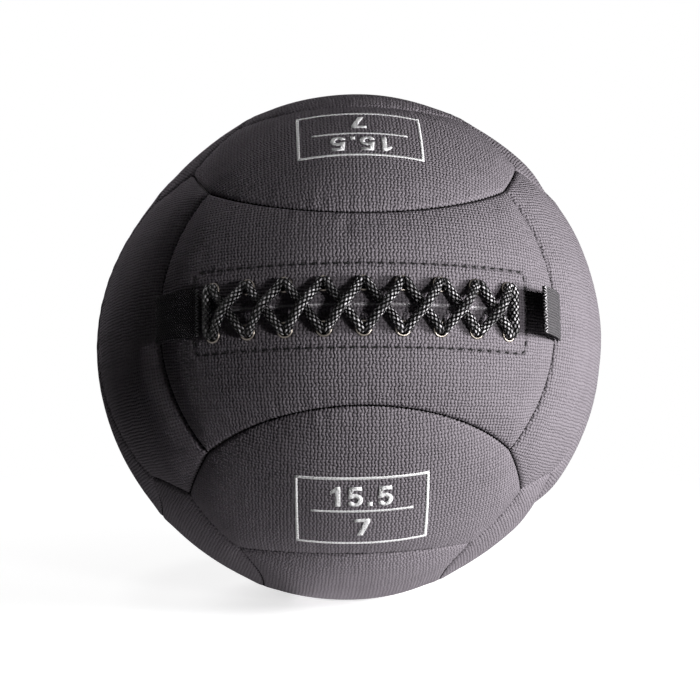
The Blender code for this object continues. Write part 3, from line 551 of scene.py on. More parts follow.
def swollen(panels):
    """How far each panel's coarse grid moves when the stuffing presses on its cloth, capped."""
    starts, moves = {}, {}
    for name, (middle, sides) in panels.items():
        shares = [np.linspace(0, 1, max(FEWEST_CELLS, round(side_length(side) / COARSE_CELL)) + 1)
                  for side in sides[:2]]
        directions = patch(drawn_in(sides, middle), *shares)
        flat = directions.reshape(-1, 3)
        reach, _ = seam_reach(flat, closed_loop(sides))
        lumps = np.array([noise.noise(Vector(d) * (BALL_RADIUS / LUMP_SIZE)) for d in flat])
        free = free_of_lacing(flat) * smooth_step(0.0, CALM_BAND, reach)
        start = at(flat, LUMP_HEIGHT * lumps * free)
        starts[name] = (directions.shape, flat, start, free)
        moves[name] = start - at(flat, np.zeros(len(flat)))
    whole = bmesh.new()
    held, order = [], []
    for name, (shape, flat, start, _) in starts.items():
        mesh, index = grid_mesh(f"{name}_cloth", start.reshape(shape))
        face_outwards(mesh, np.zeros(3))
        whole.from_mesh(mesh)
        bpy.data.meshes.remove(mesh)
        order.append(index)
        held.append((on_rim(*shape[:2]) | (free_of_lacing(flat) < HELD_BELOW))[index])
    points = settled(mesh_from(whole, "cover_cloth"), np.concatenate(held))
    for (name, (_, _, start, free)), index in zip(starts.items(), order):
        found = np.empty_like(start)
        found[index], points = points[:len(index)], points[len(index):]
        moved = found - start
        size = np.linalg.norm(moved, axis=1, keepdims=True)
        moved *= np.minimum(1, SWELL_LIMIT / np.maximum(size, 1e-9)) * free[:, None]
        moves[name] = moves[name] + moved
    return {name: moves[name].reshape(shape) for name, (shape, *_) in starts.items()}


def resampled(field, shares):
    """A field of evenly spaced rows, at other shares of the way, by cubic steps along its first axis."""
    last = len(field) - 1
    place = np.clip(shares * last, 0, last - 1e-9)
    base = np.floor(place).astype(int)
    t = (place - base)[:, None, None]
    before, start = field[np.maximum(base - 1, 0)], field[base]
    end, after = field[base + 1], field[np.minimum(base + 2, last)]
    return 0.5 * (2 * start + (end - before) * t + (2 * before - 5 * start + 4 * end - after) * t ** 2
                  + (3 * start - before - 3 * end + after) * t ** 3)


# Seams, stitches and lips in the cloth

ROLL_DEPTH = 0.0020
ROLL_BAND = 0.0032
SKIRT_DEPTH = 0.0030
CLOTH_THICKNESS = 0.0014
FLOOR_CLEARANCE = 0.0004

# A ring of directions where the seams lie flatter: its axis, place and spread, and its fade to the right
FLAT_SEAM_TOWARDS = (-0.052, -0.987, -0.150)
FLAT_SEAM_PLACE = 0.125
FLAT_SEAM_SPREAD = 0.17
FLAT_SEAM_FADE = (0.42, 0.68)
FLAT_SEAM_SHARE = 0.9
FLAT_SEAM_LIFT = 0.0014
FLAT_SEAM_BAND = 0.010

# Waves of the puckers along a seam: length, share and phase
PUCKER_WAVES = ((0.0093, 1.0, 0.0), (0.0141, 0.7, 1.3), (0.0233, 0.5, 4.1))
PUCKER_HEIGHT = 0.00015
PUCKER_BAND = 0.009
PUCKER_START = 0.003

# The sewn rectangle round the lacing, the groove under its thread and the ridge beside it
STITCH_HALF_LENGTH = 0.1130
STITCH_HALF_HEIGHT = 0.0264
STITCH_CORNER = 0.004
STITCH_PITCH = 0.0070
STITCH_LENGTH = 0.0043
STITCH_SINK = 0.00025
STITCH_MARKS = 2400
STITCH_REACH = 0.006
STITCH_GROOVE = 0.00045
GROOVE_BAND = 0.0016
RIDGE_PLACE = 0.0038
# Width of the shade painted along the thread
THREAD_SHADE_BAND = 0.0009

# The slit's lips and the hollow beside them, as place, height and width
LIP_ENDS = (SLIT_HALF - 0.004, SLIT_HALF + 0.003)
LIP_WAVES = ((0.0036, -0.0006, 0.0018), (0.0, 0.0002, 0.0010))
# Width of the highlight painted along the slit's edges
LIP_HIGHLIGHT_WIDTH = 0.0009


def bump_at(distance, place, width):
    """A smooth bump of height one about a place."""
    return np.exp(-((distance - place) / width) ** 2)


def stitch_path():
    """The sewn rectangle round the lacing: marks close together along it, their places, and its length."""
    hub = np.array((STITCH_HALF_LENGTH, STITCH_HALF_HEIGHT)) - STITCH_CORNER
    corners = []
    for quarter, signs in enumerate(((1, 1), (-1, 1), (-1, -1), (1, -1))):
        turn = np.linspace(0, math.pi / 2, 12) + quarter * math.pi / 2
        corners.append(signs * hub + STITCH_CORNER * np.stack([np.cos(turn), np.sin(turn)], -1))
    line = np.concatenate(corners + [corners[0][:1]])
    way = lengths_along(line)
    marks = np.linspace(0, way[-1], STITCH_MARKS, endpoint=False)
    return marks, places_along(line, way, marks), way[-1]


def stitch_relief(x_arc, z_arc):
    """The sewn rectangle in the laced panel: its height, pulled down by each stitch and pinched up between,
    and how close each place is to the thread."""
    marks, line, length = stitch_path()
    height, groove_shade = np.zeros((2, len(x_arc)))
    near = np.flatnonzero((np.abs(np.abs(z_arc) - STITCH_HALF_HEIGHT) < STITCH_REACH)
                          | (np.abs(np.abs(x_arc) - STITCH_HALF_LENGTH) < STITCH_REACH))
    for chunk in np.array_split(near, max(1, len(near) // (CHUNK // 2))):
        away = np.linalg.norm(np.stack([x_arc, z_arc], -1)[chunk][:, None] - line[None], axis=2)
        closest = np.argmin(away, axis=1)
        distance = away[np.arange(len(chunk)), closest]
        phase = marks[closest] / length * round(length / STITCH_PITCH) * 2 * math.pi
        height[chunk] = STITCH_GROOVE * (-0.35 - 0.75 * np.cos(phase)) * bump_at(distance, 0, GROOVE_BAND)
        height[chunk] += 0.5 * STITCH_GROOVE * bump_at(distance, RIDGE_PLACE, GROOVE_BAND)
        # Painted shade along the thread's groove, strongest at each stitch
        groove_shade[chunk] = (0.65 + 0.35 * np.cos(phase)) * bump_at(distance, 0, THREAD_SHADE_BAND)
    return height, groove_shade


def seam_relief(flat, reach, along):
    """How far the cloth lies below its crown at its seams: drawn in, rolled over and puckered."""
    rolled = ROLL_DEPTH * np.clip(1 - reach / ROLL_BAND, 0, 1) ** 2
    pucker = sum(share * np.sin(along / length * 2 * math.pi + phase)
                 for length, share, phase in PUCKER_WAVES)
    puckered = PUCKER_HEIGHT * pucker * np.exp(-reach / PUCKER_BAND) * smooth_step(0.0, PUCKER_START, reach)
    tight = (bump_at(flat @ np.array(FLAT_SEAM_TOWARDS), FLAT_SEAM_PLACE, FLAT_SEAM_SPREAD)
             * (1 - smooth_step(*FLAT_SEAM_FADE, flat[:, 0])))
    lifted = FLAT_SEAM_LIFT * tight * bump_at(reach, 0, FLAT_SEAM_BAND)
    return ((-crown_drop(reach) - rolled) * (1 - FLAT_SEAM_SHARE * tight) + lifted
            + puckered * free_of_lacing(flat))


def make_panel(name, middle, sides, field, cell, material):
    """One cover panel in detail: its skirt turned into the seam, its rim rolled over, its cloth swollen."""
    middle = unit(middle)
    across_shares, up_shares = (shares_across(side_length(side), cell) for side in sides[:2])
    directions = patch(drawn_in(sides, middle), across_shares, up_shares)
    flat = directions.reshape(-1, 3)
    reach, along = seam_reach(flat, closed_loop(sides))
    height = seam_relief(flat, reach, along)
    lip, sewn = np.zeros((2, len(flat)))
    if name == "front_panel":
        x_arc, z_arc = laced_arcs(flat)
        relief, sewn = stitch_relief(x_arc, z_arc)
        hollow, lips = (rise * bump_at(np.abs(z_arc), place, width) for place, rise, width in LIP_WAVES)
        height += relief + (1 - smooth_step(*LIP_ENDS, np.abs(x_arc))) * (hollow + lips)
        # A highlight painted along the slit's edges, for the cloth's colour
        lip = bump_at(z_arc, 0, LIP_HIGHLIGHT_WIDTH) * (np.abs(x_arc) < SLIT_HALF)
    moves = resampled(resampled(field, across_shares).transpose(1, 0, 2), up_shares).transpose(1, 0, 2)
    points = at(flat, height) + moves.reshape(-1, 3)
    skirt = on_rim(*directions.shape[:2])
    points[skirt] -= unit(points[skirt]) * SKIRT_DEPTH
    points = leant(points)
    points[:, 2] = np.maximum(points[:, 2], FLOOR_CLEARANCE)
    mesh, index = grid_mesh(name, points.reshape(directions.shape))
    reach[skirt] = -SKIRT_DEPTH
    for value_name, values in {"reach": reach, "along": along, "lip": lip, "sewn": sewn}.items():
        set_values(mesh, value_name, values[index])
    set_flat_map(mesh, flat_places(flat, middle)[index])
    face_outwards(mesh, LEAN_MOVE)
    if name == "front_panel":
        open_lacing(mesh)
    made = piece(f"{name}_cover", mesh, material, "ball", (name,))
    thicken(made, "cloth_thickness", CLOTH_THICKNESS, -1)


def eyelet_columns():
    """Arc lengths across to each column of eyelets, left to right."""
    return [-FIRST_EYELET + EYELET_PITCH * index for index in range(EYELET_COUNT)]


# How near the slit's line a point counts as on it, and how near a hole's edge it is drawn to the edge
ON_LINE = 0.00005
NEAR_HOLE = 0.0025


def open_lacing(mesh):
    """Opens the slit and the eyelet holes in the laced panel's sheet."""
    bm = bmesh.new()
    bm.from_mesh(mesh)

    def arcs():
        """Arc lengths across and up to each point, and which points are on the slit, as the sheet now is."""
        bm.verts.ensure_lookup_table()
        bm.verts.index_update()
        own = (np.array([vert.co[:] for vert in bm.verts]) - LEAN_MOVE) @ np.linalg.inv(LEAN_TURN).T
        x_arc, z_arc = laced_arcs(unit(own))
        return x_arc, z_arc, (np.abs(z_arc) < ON_LINE) & (np.abs(x_arc) < SLIT_HALF)

    on_slit = arcs()[2]
    bmesh.ops.split_edges(bm, edges=[edge for edge in bm.edges if all(on_slit[v.index] for v in edge.verts)])
    x_arc, z_arc, on_slit = arcs()
    upward = Vector(LEAN_TURN @ np.array((0, 0, 1.0)))
    for vert in bm.verts:
        if on_slit[vert.index] and vert.is_boundary:
            above = sum((face.calc_center_median() - vert.co) @ upward for face in vert.link_faces)
            vert.co += upward * math.copysign(SLIT_WIDTH / 2, above)
    holes = [(x, row) for row in EYELET_ROWS.values() for x in eyelet_columns()]
    gone = [vert for vert in bm.verts
            if any((x_arc[vert.index] - x) ** 2 + (z_arc[vert.index] - z) ** 2 < EYELET_HOLE_RADIUS ** 2
                   for x, z in holes)]
    bmesh.ops.delete(bm, geom=gone, context="VERTS")
    x_arc, z_arc, _ = arcs()
    for vert in bm.verts:
        for x, z in holes if vert.is_boundary else ():
            away = Vector((x_arc[vert.index] - x, z_arc[vert.index] - z))
            if away.length < EYELET_HOLE_RADIUS + NEAR_HOLE:
                place = away.normalized() * EYELET_HOLE_RADIUS
                vert.co = leant(arc_point(x + place.x, z + place.y, 0.0))
    bm.to_mesh(mesh)
    bm.free()
    mesh.shade_smooth()


# Stitches

def stitch_mesh(places, name, width, length):
    """Short threads as one mesh; places are (point, direction along, direction out)."""
    bm = bmesh.new()
    for point, along, out in places:
        before = set(bm.verts)
        bmesh.ops.create_uvsphere(bm, u_segments=6, v_segments=6, radius=0.5)
        made = [vert for vert in bm.verts if vert not in before]
        sideways = out.cross(along).normalized()
        turned = Matrix((along, sideways, out)).transposed().to_4x4()
        for vert in made:
            x, y, z = vert.co.z * 2, vert.co.x * 2, vert.co.y * 2
            flat = math.copysign(min(1.0, abs(x)) ** 0.6, x)
            sunk = abs(flat) ** 3 * width * 0.6
            vert.co = Vector((flat * length / 2, y * width / 2, z * width / 2 - sunk))
        bmesh.ops.transform(bm, verts=made, matrix=Matrix.Translation(point) @ turned)
    bmesh.ops.recalc_face_normals(bm, faces=bm.faces)
    return mesh_from(bm, name)


# The lace's route, as the plain model has it: arc across, arc up, height, share of the full thickness

DRAWN_SHARE = LACE_DRAWN_DIAMETER / LACE_DIAMETER
LIP_FULL_SHARE = 0.92
LIP_OUTWARD = 0.0014
STRAND_OFFSET = DRAWN_RADIUS + LACE_GAP / 2
REST_HEIGHT = FLANGE_TOP + TOUCH_GAP + LACE_RADIUS
LOW_HEIGHT = TOUCH_GAP + LACE_RADIUS
CROSSING_HEIGHT = LOW_HEIGHT + LACE_DIAMETER + LACE_GAP
LIP_HEIGHT = 0.0021
LACE_FULLNESS = 1.1


def hole(column, row, side):
    """The place of a strand in an eyelet; side is the half of the hole that it uses."""
    return eyelet_columns()[column] + side * STRAND_OFFSET, EYELET_ROWS[row]


def between(start, end, share):
    """A place a share of the way between two places."""
    return start[0] + (end[0] - start[0]) * share, start[1] + (end[1] - start[1]) * share


def over(start, end, is_upper):
    """A strand over the slit, from one hole up and across to another and down into it."""
    turn_share = LACE_TURN_REACH / math.dist(start, end)
    middle = CROSSING_HEIGHT if is_upper else LOW_HEIGHT
    lips = [(x, z + (LIP_OUTWARD if z > 0 else -LIP_OUTWARD / 4), LIP_HEIGHT, LIP_FULL_SHARE)
            for x, z in (start, end)]
    return [(*start, FACING_TOP, DRAWN_SHARE), lips[0],
            (*between(start, end, turn_share), REST_HEIGHT, 1), (*between(start, end, 0.5), middle, 1),
            (*between(start, end, 1 - turn_share), REST_HEIGHT, 1),
            lips[1], (*end, FACING_TOP, DRAWN_SHARE)]


def under(start, end, height, belly):
    """A drawn strand under the facings, from one hole down to the other."""
    turn_share = DRAWN_RADIUS / math.dist(start, end)
    corner = height + DRAWN_RADIUS
    return [(*start, corner, DRAWN_SHARE), (*between(start, end, turn_share), height, DRAWN_SHARE),
            (*between(start, end, 0.5), height - belly, DRAWN_SHARE),
            (*between(start, end, 1 - turn_share), height, DRAWN_SHARE), (*end, corner, DRAWN_SHARE)]


def tail(row, side, depth_height):
    """A lace end, from the knot to a hole of the first column."""
    start = hole(0, row, side)
    knot = (-FIRST_EYELET + EYELET_PITCH / 2, 0.0)
    knot_height = (FACING_BOTTOM + TONGUE_TOP) / 2
    end = (knot[0], knot[1] + row * (KNOT_LENGTH / 2 + TOUCH_GAP))
    run_in = (knot[0], end[1] + row * LACE_DRAWN_DIAMETER)
    return [(*start, depth_height + DRAWN_RADIUS, DRAWN_SHARE),
            (*between(start, run_in, DRAWN_RADIUS / EYELET_PITCH), depth_height, DRAWN_SHARE),
            (*between(start, run_in, 0.5), depth_height, DRAWN_SHARE),
            (*run_in, knot_height, DRAWN_SHARE), (*end, knot_height, DRAWN_SHARE)]


def lace_route():
    """The whole lace: upper strands to the right, then lower strands back to the left."""
    last = EYELET_COUNT - 1
    route = tail(DOWN, RIGHT, SHALLOW_HEIGHT)[::-1]
    for column in range(last):
        route += over(hole(column, DOWN, RIGHT), hole(column + 1, UP, LEFT), True)
        route += under(hole(column + 1, UP, LEFT), hole(column + 1, DOWN, RIGHT), DEEP_HEIGHT,
                       LACE_DEEP_BELLY)
    route += over(hole(last, DOWN, RIGHT), hole(last, UP, RIGHT), False)
    for column in range(last, 0, -1):
        route += under(hole(column, UP, RIGHT), hole(column, DOWN, LEFT), SHALLOW_HEIGHT, 0)
        route += over(hole(column, DOWN, LEFT), hole(column - 1, UP, RIGHT), False)
    route += under(hole(0, UP, RIGHT), hole(0, DOWN, LEFT), SHALLOW_HEIGHT, 0)
    route += over(hole(0, DOWN, LEFT), hole(0, UP, LEFT), False)
    route += tail(UP, LEFT, DEEP_HEIGHT - LACE_GAP)
    return route


# The knots that each blend of four points spans, blend by blend
SPANS = (((0, 1), (1, 2), (2, 3)), ((0, 2), (1, 3)), ((1, 2),))


def rounded(points, steps):
    """A line rounded through its own points, with centripetal spacing; the last column rides along."""
    padded = [2 * points[0] - points[1], *points, 2 * points[-1] - points[-2]]
    made = []
    for four in zip(padded, padded[1:], padded[2:], padded[3:]):
        knots = [0.0]
        for start, end in zip(four, four[1:]):
            knots.append(knots[-1] + np.linalg.norm((end - start)[:3]) ** 0.5 + 1e-6)
        for t in np.linspace(knots[1], knots[2], steps, endpoint=False):
            blend = four
            for spans in SPANS:
                blend = [first * (knots[high] - t) / (knots[high] - knots[low])
                         + second * (t - knots[low]) / (knots[high] - knots[low])
                         for (low, high), first, second in zip(spans, blend, blend[1:])]
            made.append(blend[0])
    return np.array([*made, points[-1]])


def tube_mesh(name, points, radii):
    """A closed tube along points, with a map of its length and girth in metres and turns."""
    curve = bpy.data.curves.new(name, "CURVE")
    curve.dimensions = "3D"
    curve.bevel_depth = 1.0
    curve.bevel_resolution = 3
    spline = curve.splines.new("POLY")
    spline.points.add(len(points) - 1)
    for spot, place, radius in zip(spline.points, points, radii):
        spot.co = (*place, 1)
        spot.radius = radius
    holder = new_object(name, curve)
    mesh = bpy.data.meshes.new_from_object(holder.evaluated_get(bpy.context.evaluated_depsgraph_get()))
    bpy.data.objects.remove(holder, do_unlink=True)
    girth = len(mesh.vertices) // len(points)
    while mesh.uv_layers:
        mesh.uv_layers.remove(mesh.uv_layers[0])
    corners = corner_points(mesh)
    turns = (corners % girth).astype(float)
    for face in mesh.polygons:
        part = turns[face.loop_start:face.loop_start + face.loop_total]
        if np.ptp(part) > girth / 2:
            part[part < girth / 2] += girth
    flat = np.stack([lengths_along(points)[corners // girth], turns / girth], -1)
    mesh.uv_layers.new(name="flat").data.foreach_set("uv", flat.astype(np.float32).ravel())
    bm = bmesh.new()
    bm.from_mesh(mesh)
    bmesh.ops.holes_fill(bm, edges=[edge for edge in bm.edges if edge.is_boundary], sides=0)
    bmesh.ops.recalc_face_normals(bm, faces=bm.faces)
    bm.to_mesh(mesh)
    bm.free()
    mesh.shade_smooth()
    return mesh


# Finishes, with the sizes of their patterns in millimetres

YARN_SWAY = 0.14
WANDER = 0.0030


def weave_nodes(add, across_way, up_way, roundness=0.6, rise=0.55, sway=0.0):
    """A plain weave: its height from nought to one, and which set of yarns is on top."""
    if sway:
        swing = add("Math SINE", add("Math MULTIPLY", up_way, math.pi))
        across_way = add("Math MULTIPLY_ADD", swing, sway, across_way)
    sines = [add("Math SINE", add("Math MULTIPLY", way, math.pi)) for way in (across_way, up_way)]
    heights = []
    for own, other, sign in ((*sines, 1), (*sines[::-1], -1)):
        body = add("Math POWER", add("Math ABSOLUTE", own), roundness)
        wave = add("Math MULTIPLY", other, add("Math SIGN", own))
        heights.append(add("Math MULTIPLY_ADD", wave, sign * rise, body))
    return (add("Math MULTIPLY", add("Math MAXIMUM", *heights), 1 / (1 + rise)),
            add("Math GREATER_THAN", *heights))


def yarn_counts(add, across_mm, up_mm):
    """Counts of yarns across and up a piece, from its flat map, with a slight wander."""
    flat = add("UVMap flat")
    wander = add("TexNoise", flat, Scale=1000 / 6.6667, Detail=3.0, Roughness=0.6).outputs["Color"]
    centred = add("VectorMath SUBTRACT", wander, (0.5, 0.5, 0.5))
    places = add("SeparateXYZ", add("VectorMath ADD", flat, add("VectorMath SCALE", centred, WANDER))).outputs
    return [add("Math MULTIPLY", place, 1000 / pitch) for place, pitch in zip(places, (across_mm, up_mm))]


def surface(add, colour, roughness, height, relief, strength=1.0, **constants):
    """Ends a material: a Principled shader, with its bump, on the output."""
    bump = add("Bump", Strength=strength, Distance=relief, Height=height)
    shader = add("BsdfPrincipled", Base_Color=colour, Roughness=roughness, Normal=bump, **constants)
    add("OutputMaterial", Surface=shader)


def woven_polyester_cover(settings):
    """Coarse basket-like polyester: fat dull yarns, painted shade in the pits between them and in the seams.
    """
    made, add = new_material("woven_polyester_cover")
    counts = yarn_counts(add, settings.yarn_pitch_across * 1000, settings.yarn_pitch_up * 1000)
    height, upright = weave_nodes(add, *counts, sway=YARN_SWAY)
    lots = [add("TexWhiteNoise 1D", add("Math FLOOR", count)) for count in counts]
    own_tone = add("Mix FLOAT", upright, lots[1], lots[0])
    flat = add("UVMap flat")
    patches = add("TexNoise", flat, Scale=1000 / 35.714, Detail=4.0)
    grain = add("TexNoise", flat, Scale=1000 / 0.71429, Detail=3.0)
    tone = add("MapRange SMOOTHSTEP", height, 0.16, 0.86)
    for source, share in ((own_tone, 0.30), (patches, 0.40), (grain, 0.55)):
        tone = add("Math ADD", tone, add("Math MULTIPLY_ADD", source, share, -share / 2))
    reach, along, lip, sewn = (add(f"Attribute {name}").outputs["Fac"]
                               for name in ("reach", "along", "lip", "sewn"))
    # Painted shade in the seams: the cloth darkens to the seam colour near each seam, in stitch-sized bites,
    # and along the stitched groove
    bite = add("Math SINE", add("Math MULTIPLY", along, 2 * math.pi * 1000 / 3.3))
    edge = add("Math MULTIPLY_ADD", bite, 0.0003, reach)
    seam = add("Math MINIMUM", add("MapRange SMOOTHSTEP", edge, 0.0001, 0.0009),
               add("Math SUBTRACT", 1.0, sewn))
    # Painted shade: the pits between the yarns, low in the weave's height, take the darker pit colour
    cloth = add("Mix RGBA", tone, (*settings.pit_shade_colour, 1.0), (*settings.yarn_colour, 1.0))
    cloth = add("Mix RGBA", seam, (*settings.seam_shade_colour, 1.0), cloth)
    # Painted highlight along the slit's edges
    cloth = add("Mix RGBA", add("Math POWER", lip, 2.0), cloth, linear("#f2eef2"))
    fuzz = add("Math MULTIPLY_ADD", grain, 0.18, height)
    surface(add, cloth, 0.9, fuzz, settings.yarn_relief, Specular_IOR_Level=0.0)
    return made


def braided_cord():
    """Tight round braid of filament polyester: black, with small bright glints painted where its strands
    turn.
    """
    made, add = new_material("braided_polyester_cord")
    places = add("SeparateXYZ", add("UVMap flat")).outputs
    length = add("Math MULTIPLY", places[0], 1000 / 4.2)
    turns = add("Math MULTIPLY", places[1], 6.0)
    one_way, other_way = (add(f"Math {sign}", length, turns) for sign in ("ADD", "SUBTRACT"))
    height, _ = weave_nodes(add, one_way, other_way, 0.7, 0.5)
    # Painted glints: a pale colour on the braid's high ridges, in scattered patches
    glint = add("TexNoise", add("TexCoord").outputs["Object"], Scale=1000 / 5.8824, Detail=2.0)
    strand = add("Math MULTIPLY", add("MapRange", height, 0.74, 0.99),
                 add("MapRange", glint, 0.42, 0.60, 0.25))
    colour = add("Mix RGBA", strand, linear("#020202"), linear("#f0ecf0"))
    surface(add, colour, 0.27, height, 0.0014, Specular_IOR_Level=0.06)
    return made


def herringbone_webbing():
    """Woven polypropylene tape: fine zigzag ribs, black, with painted sheen on its outer layer and a painted
    highlight on its fold.
    """
    made, add = new_material("herringbone_polypropylene_webbing")
    places = add("SeparateXYZ", add("UVMap flat")).outputs
    slope = add("Math ADD", places[0], add("Math PINGPONG", places[1], 0.0035))
    ribs, yarns = (add("Math SINE", add("Math MULTIPLY", way, 2 * math.pi * 1000 / pitch_mm))
                   for way, pitch_mm in ((slope, 1.9), (places[1], 1.7)))
    relief = add("Math MULTIPLY_ADD", yarns, 0.35, ribs)
    painted_light = add("Attribute fold").outputs["Fac"]
    tone = add("MapRange", relief, -1.0, 1.3)
    colour = add("Mix RGBA", tone, linear("#060607"), linear("#333034"))
    # Painted sheen on the outer layer and a painted highlight along the fold, from the fold value
    colour = add("Mix RGBA", add("Math MULTIPLY", painted_light, tone), colour, linear("#d8d4d8"))
    gloss = add("MapRange", painted_light, 0.0, 1.0, 0.75, 0.30)
    surface(add, colour, gloss, relief, 0.0005, 0.9, Specular_IOR_Level=0.01)
    return made


def nickel_plated_brass():
    """Pressed brass with a dull nickel plate: a soft warm-grey gleam, with fine handling scratches."""
    made, add = new_material("nickel_plated_brass")
    blotch = add("TexNoise", add("TexCoord").outputs["Object"], Scale=1000 / 3.8462, Detail=3.0)
    colour = add("Mix RGBA", blotch, linear("#3b3733"), linear("#857e77"))
    rough = add("MapRange", blotch, 0.0, 1.0, 0.24, 0.42)
    surface(add, colour, rough, blotch, 0.0001, 0.15, Metallic=1.0)
    return made


def white_print():
    """Screen-printed plastisol ink: matt white that lies on the yarns and breaks up over the pits."""
    made, add = new_material("white_plastisol_print")
    height, _ = weave_nodes(add, *yarn_counts(add, 2.37, 2.2), sway=YARN_SWAY)
    tone = add("MapRange SMOOTHSTEP", height, 0.22, 0.62)
    colour = add("Mix RGBA", tone, linear("#b3b1b3"), linear("#f4f3f4"))
    surface(add, colour, 0.6, height, 0.0003, 0.5, Specular_IOR_Level=0.25)
    return made


def bonded_thread():
    """Bonded nylon thread: black and slightly glossy, twisted from a few plies."""
    made, add = new_material("bonded_nylon_thread")
    twist = add("TexWave DIAGONAL", add("TexCoord").outputs["Object"], Scale=1000 / 1.1111,
                Distortion=1.0).outputs["Fac"]
    colour = add("Mix RGBA", twist, linear("#060606"), linear("#1c1b1c"))
    surface(add, colour, 0.5, twist, 0.0002, 0.5, Specular_IOR_Level=0.1)
    return made


def hidden_finish(name, dark, light, grain_mm, roughness, relief, metallic=0.0):
    """An inner piece's finish: two tones of one stuff in grains or threads of a given size."""
    made, add = new_material(name)
    place = add("TexCoord").outputs["Object"]
    grains = add("TexNoise", place, Scale=1000 / grain_mm, Detail=5.0)
    both = add("Math MULTIPLY", grains, add("TexVoronoi", place, Scale=1000 / grain_mm))
    colour = add("Mix RGBA", add("MapRange", both, 0.05, 0.35), linear(dark), linear(light))
    surface(add, colour, roughness, both, relief, 0.7, Metallic=metallic)
    return made


INNER_FINISHES = {
    ("upper_facing", "lower_facing", "tongue"): (
        "black_canvas_facing", "#131314", "#2b2a2c", 1.1111, 0.9, 0.0003),
    ("lace_knot", "core_tie"): ("tied_polyester_cord", "#0a0a0a", "#232224", 1.25, 0.5, 0.0003),
    ("liner",): ("cotton_duck_liner", "#6f6e6b", "#9a9894", 1.4286, 0.95, 0.0003),
    ("front_stuffing", "back_stuffing"): ("pressed_textile_fibre", "#8d8880", "#c9c3b9", 8.3333, 1.0, 0.0012),
    ("core_bag",): ("coated_nylon_bag", "#35353a", "#5f5f64", 1.6667, 0.55, 0.0002),
    ("core_fill",): ("loose_iron_sand", "#2b2927", "#6b645c", 0.66667, 0.6, 0.0005, 0.7),
}


# Settings that a user would change

class WallBallCoverSettings(bpy.types.PropertyGroup):
    """Sizes and colours of the cover."""
    cell: bpy.props.FloatProperty(
        name="Cloth cell", description="Size of the cover mesh's cells",
        default=0.0012, min=0.0008, unit="LENGTH", precision=4)
    yarn_pitch_across: bpy.props.FloatProperty(
        name="Yarn spacing across", description="Distance between neighbouring upright yarns",
        default=0.00237, unit="LENGTH", precision=5)
    yarn_pitch_up: bpy.props.FloatProperty(
        name="Yarn spacing up", description="Distance between neighbouring level yarns",
        default=0.0022, unit="LENGTH", precision=5)
    yarn_relief: bpy.props.FloatProperty(
        name="Yarn relief", description="Height of the yarns over the pits between them",
        default=0.0012, unit="LENGTH", precision=5)
    yarn_colour: bpy.props.FloatVectorProperty(
        name="Yarn colour", description="Colour of the yarns' tops", subtype="COLOR", min=0, max=1,
        default=linear("#807a80")[:3])
    # Painted shade in the pits between the yarns
    pit_shade_colour: bpy.props.FloatVectorProperty(
        name="Pit colour", description="Colour between the yarns and down in the seams", subtype="COLOR",
        min=0, max=1, default=linear("#615c61")[:3])
    # Painted shade down in the seams and along the stitched groove
    seam_shade_colour: bpy.props.FloatVectorProperty(
        name="Seam colour", description="Colour down in the seams and under the stitches", subtype="COLOR",
        min=0, max=1, default=linear("#100f10")[:3])


class WallBallLacingSettings(bpy.types.PropertyGroup):
    """Sizes of the lacing's finer parts."""
    stitch_width: bpy.props.FloatProperty(
        name="Thread width", description="Width of the threads sewn round the lacing", default=0.0011,
        unit="LENGTH", precision=4)
    lace_steps: bpy.props.IntProperty(
        name="Lace steps", description="Steps between two points of the lace's route", default=6, min=2)
    eyelet_sides: bpy.props.IntProperty(
        name="Eyelet sides", description="Steps round each eyelet", default=32, min=8)


class WallBallStageSettings(bpy.types.PropertyGroup):
    """Camera and light."""
    azimuth: bpy.props.FloatProperty(
        name="Azimuth", description="Where the camera stands, round from the front", subtype="ANGLE",
        default=math.radians(-3.0))
    elevation: bpy.props.FloatProperty(
        name="Elevation", description="How far the camera looks down", subtype="ANGLE",
        default=math.radians(5.36))
    distance: bpy.props.FloatProperty(
        name="Distance", description="From the camera to the ball's middle", default=1.4, unit="LENGTH")
    lens: bpy.props.FloatProperty(
        name="Lens", description="Focal length on a 36 mm sensor, in millimetres", default=103.06)
    key_power: bpy.props.FloatProperty(
        name="Key light", description="Power of the light close at the right", default=7.2,
        subtype="POWER")
    side_power: bpy.props.FloatProperty(
        name="Side light", description="Power of the light further off, between the key light and the camera",
        default=16.0, subtype="POWER")
    rim_power: bpy.props.FloatProperty(
        name="Rim light", description="Power of the weak light above the ball's left side", default=2.1,
        subtype="POWER")
    gleam_power: bpy.props.FloatProperty(
        name="Gleam light", description="Power of the small light that only glossy finishes show",
        default=30.0, subtype="POWER")
    back_power: bpy.props.FloatProperty(
        name="Back light", description="Power of the soft light behind the ball, on its left", default=14.0,
        subtype="POWER")
    bounce_power: bpy.props.FloatProperty(
        name="Bounce light", description="Power of the flat reflector that lies by the ball", default=0.38,
        subtype="POWER")
    fill_power: bpy.props.FloatProperty(
        name="Fill light", description="Power of the weak light in front", default=0.05, subtype="POWER")


# Operators

# How far the photograph's frame is off the ball's middle, as shares of its width
CAMERA_SHIFT = (0.0014, -0.0043)


def stand_round_ball(made, azimuth_deg, elevation_deg, distance):
    """Puts a camera or light at a distance from the ball's middle and turns it towards the ball."""
    away = Vector(on_ball(azimuth_deg, elevation_deg))
    made.location = Vector((0, 0, CENTRE_HEIGHT)) + away * distance
    made.rotation_euler = (-away).to_track_quat("-Z", "Y").to_euler()


